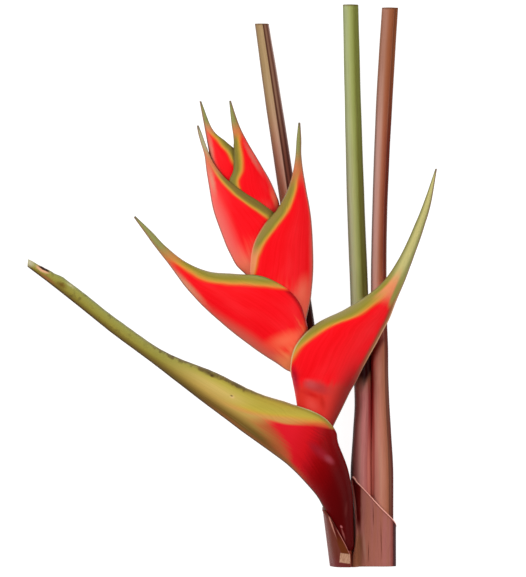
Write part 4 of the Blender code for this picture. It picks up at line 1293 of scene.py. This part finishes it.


# Colours across each leaf stalk, from its left edge (0) to its right edge (1), above and below,
# with a painted highlight on the lit side and painted shade on the edges and where the pair of
# stalks meet, and the heights along it between which one turns into the other. The crown is a
# colour that grows towards its top (from, to, share, colour), and the crease light a painted light
# that lifts the shade in the crease by the sheath and fades in between two places across. The
# shadow is the painted shadow block that the second bract casts: x, y, half length, half width,
# turn, softness and colour.
STALK_LOOKS = {
    "petiole_left": dict(
        upper=[(0.02, (118, 90, 62)), (0.14, (156, 128, 88)), (0.52, (188, 156, 114)),
               (0.58, (104, 64, 42)), (0.63, (84, 46, 34)), (0.72, (142, 104, 82)),
               (0.84, (102, 60, 48)), (0.91, (126, 86, 72)), (1.0, (200, 172, 162))],
        lower=[(0.02, (104, 60, 42)), (0.16, (150, 102, 78)), (0.5, (208, 160, 140)),
               (0.57, (96, 46, 34)), (0.63, (66, 28, 22)), (0.73, (118, 68, 54)),
               (0.85, (70, 28, 24)), (1.0, (112, 62, 54))],
        turn=(150.0, 85.0)),
    "petiole_centre": dict(
        upper=[(0.02, (112, 114, 84)), (0.18, (176, 182, 142)), (0.4, (170, 174, 112)),
               (0.7, (126, 126, 54)), (0.97, (100, 96, 46))],
        lower=[(0.02, (84, 46, 40)), (0.14, (146, 84, 78)), (0.5, (198, 122, 118)),
               (0.8, (192, 114, 108)), (0.9, (150, 34, 38)), (1.0, (150, 20, 26))],
        turn=(-40.0, -80.0), crown=(40.0, 150.0, 0.3, (146, 160, 76)), crease_light=(0.8, 0.9),
        shadow=(97.0, -48.5, 29.0, 8.6, 1.06, 0.5, (42, 3, 4))),
    "petiole_right": dict(
        upper=[(0.02, (114, 84, 74)), (0.16, (194, 148, 138)), (0.34, (190, 138, 122)),
               (0.52, (168, 100, 74)), (0.72, (146, 64, 36)), (0.97, (90, 22, 12))],
        lower=[(0.0, (170, 24, 28)), (0.09, (160, 40, 40)), (0.2, (200, 126, 112)),
               (0.5, (196, 126, 104)), (0.78, (160, 92, 62)), (0.97, (86, 28, 26))],
        turn=(20.0, -70.0), crown=(90.0, 170.0, 0.55, (148, 88, 50)), crease_light=(0.14, 0.06),
        shadow=(97.0, -46.5, 29.0, 6.4, 1.02, 0.7, (100, 36, 28))),
}


def petiole_material(name):
    """Satin skin of a leaf stalk, with fine streaks, a painted highlight, painted shade on its edges and
    in its groove, and painted shadows.
    """
    look = STALK_LOOKS[name]
    paint = Paint(name + "_skin", 0.07)
    fine, broad = paint.noise("grain", 0.6, 4.0, 0.6), paint.noise("grain", 3.0, 2.0)
    across = paint.plus(paint.both("side", 0.5), 0.5)
    upper, lower = [paint.ramp(across, look[key]) for key in ("upper", "lower")]
    paint.colour = paint.mix(paint.span("height", *look["turn"]), upper, lower)
    paint.tint(paint.mix(0.6, paint.colour, (80, 40, 24)), (fine, 0.4, 0.8, 0.0, 0.3))
    paint.tint((206, 186, 156), (broad, 0.5, 0.8, 0.0, 0.15))
    if "crown" in look:
        low, high, share, shade = look["crown"]
        paint.tint(shade, ("height", low, high, 0.0, share))
        # Painted light that lifts the shade in the crease between the pair.
        paint.tint((212, 126, 110), (across, *look["crease_light"]), ("height", -84.0, -130.0, 0.0, 0.8))
    if name != "petiole_centre":
        # Painted shade in the groove.
        paint.tint((64, 30, 24), ("groove", 0.16, 0.03, 0.0, 0.35))
    if name == "petiole_left":
        # Painted shadow where the bracts above shade the left stalk.
        paint.tint((56, 12, 14), ("height", 8.0, -6.0, 0.0, 0.92))
    elif name == "petiole_centre":
        paint.block(*look["shadow"])
        # Painted shade in the gap between the oldest bract and the sheath.
        paint.dab(83.0, -131.0, 10.0, 2.6, 1.5, 1.0, (64, 6, 8))
    else:
        # Painted light on a lit stretch of the right stalk.
        paint.dab(101.6, -60.0, 16.0, 3.8, 1.57, 1.0, (222, 152, 130))
        paint.block(*look["shadow"])
    top = PETIOLES[name][-1][1]
    paint.tint((96, 64, 42), ("height", top - 1.8, top - 0.4, 0.0, 0.6))
    return paint.skin(fine, 0.36, 0.48, 0.0002, 0.5)


def cut_material():
    """Cut face of a stalk: pale spongy pith with fibre ends and a darker rind."""
    paint = Paint("cut_pith", 0.3)
    place = paint.add("TexCoord").outputs["Object"]
    fibres = paint.add("TexVoronoi", {"Vector": place, "Scale": 1 / 0.0011}).outputs["Distance"]
    mottle = paint.noise(place, 0.002)
    paint.colour = paint.mix(paint.span(mottle, 0.3, 0.7), (190, 170, 120), (214, 198, 150))
    paint.tint((120, 84, 50), (fibres, 0.35, 0.15, 0.0, 0.7))
    paint.tint((110, 74, 46), ("reach", 4.2, 5.6))
    return paint.finish(paint.span(mottle, 0.3, 0.7, 0.7, 0.85), paint.bump(fibres, 0.0003, 0.6))


def stalk_material():
    """The flower stalk's own skin."""
    paint = Paint("stalk_skin", 0.3)
    fine = paint.noise("grain", 0.6, 4.0)
    paint.colour = paint.mix(paint.span(fine, 0.3, 0.7), (120, 40, 26), (160, 66, 40))
    paint.tint((226, 80, 50), ("height", -150.0, -60.0))
    return paint.skin(fine, 0.38, 0.5, 0.0002, 0.5)


def sheath_paint(name, warm, cool):
    """Starts a sheath's skin in two tones with long thin streaks, and gives these and the plan."""
    paint = Paint(name, 0.06, ragged=(0.5, 4.0))
    fine = paint.noise("grain", 0.5, 4.0, 0.6)
    paint.colour = paint.mix(paint.span(paint.noise("grain", 3.2, 2.0), 0.3, 0.7), warm, cool)
    paint.tint((104, 50, 42), (fine, 0.55, 0.8, 0.0, 0.5))
    x, y, _ = paint.parts(paint.in_plan())
    return paint, fine, x, y


def sheath_end(paint, fine):
    """Lays the colour of a sheath's inner side and finishes its skin."""
    paint.lay("inside", (150, 84, 70))
    return paint.skin(fine, 0.36, 0.5, 0.0003, 0.6)


def right_sheath_material():
    """The right sheath: a pale bead on its upper margin with painted shadow under it, a front strip
    darkened with painted shade, a painted highlight and an olive foot.
    """
    paint, fine, x, y = sheath_paint("sheath_right_skin", (166, 100, 82), (170, 102, 94))
    # Painted shade on the front strip next to the oldest bract.
    paint.tint((100, 16, 14), (x, 91.0, 89.2), (y, -175.0, -163.0))
    paint.line((85.4, -140.0), (87.2, -176.0), 0.9, 0.9, (120, 74, 68))
    paint.tint((140, 84, 58), (y, -170.0, -180.0), (x, 93.5, 89.0))
    paint.tint((112, 58, 36), (y, -170.0, -180.0), (x, 87.5, 84.5))
    # Painted highlight on the foot.
    paint.line((91.6, -168.0), (93.6, -199.0), 1.7, 1.0, (170, 116, 100))
    for start, end in (((95.6, -176.0), (95.2, -198.0)), ((103.9, -160.0), (104.8, -198.0)),
                       ((98.6, -150.0), (99.0, -172.0))):
        paint.line(start, end, 0.5, 0.9, (104, 50, 38))
    paint.tint((140, 62, 58), (x, 110.0, 112.0, 0.0, 0.7))
    paint.tint((62, 12, 16), (x, 111.8, 113.4))
    # Painted shadow under the rolled bead.
    paint.tint((96, 40, 34), ("column", 3.7, 4.3), ("down", 2.6, 1.3, 0.0, 0.5))
    paint.tint((244, 172, 156), ("column", 3.7, 4.3), ("down", 1.3, 0.8))
    return sheath_end(paint, fine)


def left_sheath_material():
    """The left sheath: two thin pale lines, painted shade in the wedge between them and a torn cream
    patch.
    """
    paint, fine, x, y = sheath_paint("sheath_left_skin", (106, 46, 34), (114, 54, 44))
    past_line = paint.plus(x, paint.plus(paint.both(y, 0.36), -8.1))
    # Painted shade, dark maroon above and brown lower down.
    shaded_wedge = paint.mix(paint.span(y, -172.0, -181.0), (82, 14, 8), (104, 46, 18))
    paint.tint(shaded_wedge, (past_line, 0.2, 1.0))
    paint.line((64.6, -153.0), (74.0, -180.0), 0.75, 0.9, (196, 130, 112))
    paint.tint((110, 34, 42), (y, -186.0, -196.0, 0.0, 0.5))
    paint.tint((176, 104, 92), ("column", 2.6, 1.8), ("down", 1.3, 0.8))
    cream = paint.mix(paint.span(fine, 0.3, 0.7), (164, 116, 90), (206, 158, 130))
    paint.block(78.9, -190.6, 4.2, 3.7, -0.12, 0.2, cream)
    return sheath_end(paint, fine)


PAPER_GREYS = (0.24, 0.28)
PAPER_GLOW = 0.95


def floor_material():
    """Plain pale paper that is lit a little from behind, so that shadows stay faint."""
    paint = Paint("floor_paper", 0.1)
    grain = paint.noise(paint.add("TexCoord").outputs["Object"], 0.004, 2.0)
    paint.colour = paint.mix(grain, *((grey, grey, grey, 1) for grey in PAPER_GREYS))
    paint.shader.inputs["Emission Color"].default_value = (1, 1, 1, 1)
    paint.shader.inputs["Emission Strength"].default_value = PAPER_GLOW
    return paint.finish(0.9)


# Surroundings, in metres

FLOOR_HALF = 12.0
FLOOR_HEIGHT = -0.0004      # just under the flower
ROOM_LIGHT = 0.35
LIGHT_SIZE = 1.3
LIGHTS = [                  # name, place, power
    ("key", (-1.5, 0.6, 1.5), 30.0),
    ("fill", (1.5, -0.5, 1.3), 14.0),
    ("far", (0.2, 1.9, 1.3), 10.0),
]
CAMERA_PLACE = (0.0221, -0.00225, 4.03)
CAMERA_AWAY = 4.0           # from the middle of the flower's height
VIEW_WIDTH = 0.4039         # what the picture takes in at that distance
SENSOR = 36.0


def add_floor():
    """A wide pale floor just under the flower."""
    corners = [(x * FLOOR_HALF, y * FLOOR_HALF, FLOOR_HEIGHT)
               for x, y in ((-1, -1), (1, -1), (1, 1), (-1, 1))]
    mesh = bpy.data.meshes.new("floor")
    mesh.from_pydata(corners, [], [(0, 1, 2, 3)])
    mesh.materials.append(floor_material())
    floor = bpy.data.objects.new("floor", mesh)
    bpy.context.collection.objects.link(floor)


def add_lights():
    """Square soft lights that face the flower, and even white light from all round."""
    for name, place, power in LIGHTS:
        light = bpy.data.lights.new(name, "AREA")
        light.size = LIGHT_SIZE
        light.energy = power
        item = bpy.data.objects.new(name, light)
        item.location = place
        item.rotation_euler = (-Vector(place)).to_track_quat("-Z", "Y").to_euler()
        bpy.context.collection.objects.link(item)
    world = bpy.data.worlds.new("soft_room")
    world.use_nodes = True
    world.node_tree.nodes["Background"].inputs["Color"].default_value = (1, 1, 1, 1)
    world.node_tree.nodes["Background"].inputs["Strength"].default_value = ROOM_LIGHT
    bpy.context.scene.world = world


def add_camera():
    """Looks straight down on the middle of the flower."""
    data = bpy.data.cameras.new("camera")
    data.sensor_width = SENSOR
    data.lens = SENSOR * CAMERA_AWAY / VIEW_WIDTH
    data.clip_end = 10.0
    camera = bpy.data.objects.new("camera", data)
    camera.location = CAMERA_PLACE
    bpy.context.collection.objects.link(camera)
    bpy.context.scene.camera = camera


def build_flower():
    """Builds every piece from the inside out."""
    pith = cut_material()
    stalk = build_stalk([stalk_material(), pith])
    held = [stalk]
    for number in sorted(BRACTS, reverse=True):
        held.append(build_bract(number, *joined(*held)))
    left, centre, right = [build_rod(name, [petiole_material(name), pith], seed + 3)
                           for seed, name in enumerate(PETIOLES)]
    holding = joined(centre, right, held[-1], stalk)
    sheath = build_sheath("sheath_right", SHEATH_RIGHT, holding, right_sheath_material(), 5)
    holding = joined(left, centre, held[-1], stalk, sheath)
    build_sheath("sheath_left", SHEATH_LEFT, holding, left_sheath_material(), 6)


build_flower()
add_floor()
add_lights()
add_camera()
bpy.context.scene.view_settings.view_transform = "Standard"
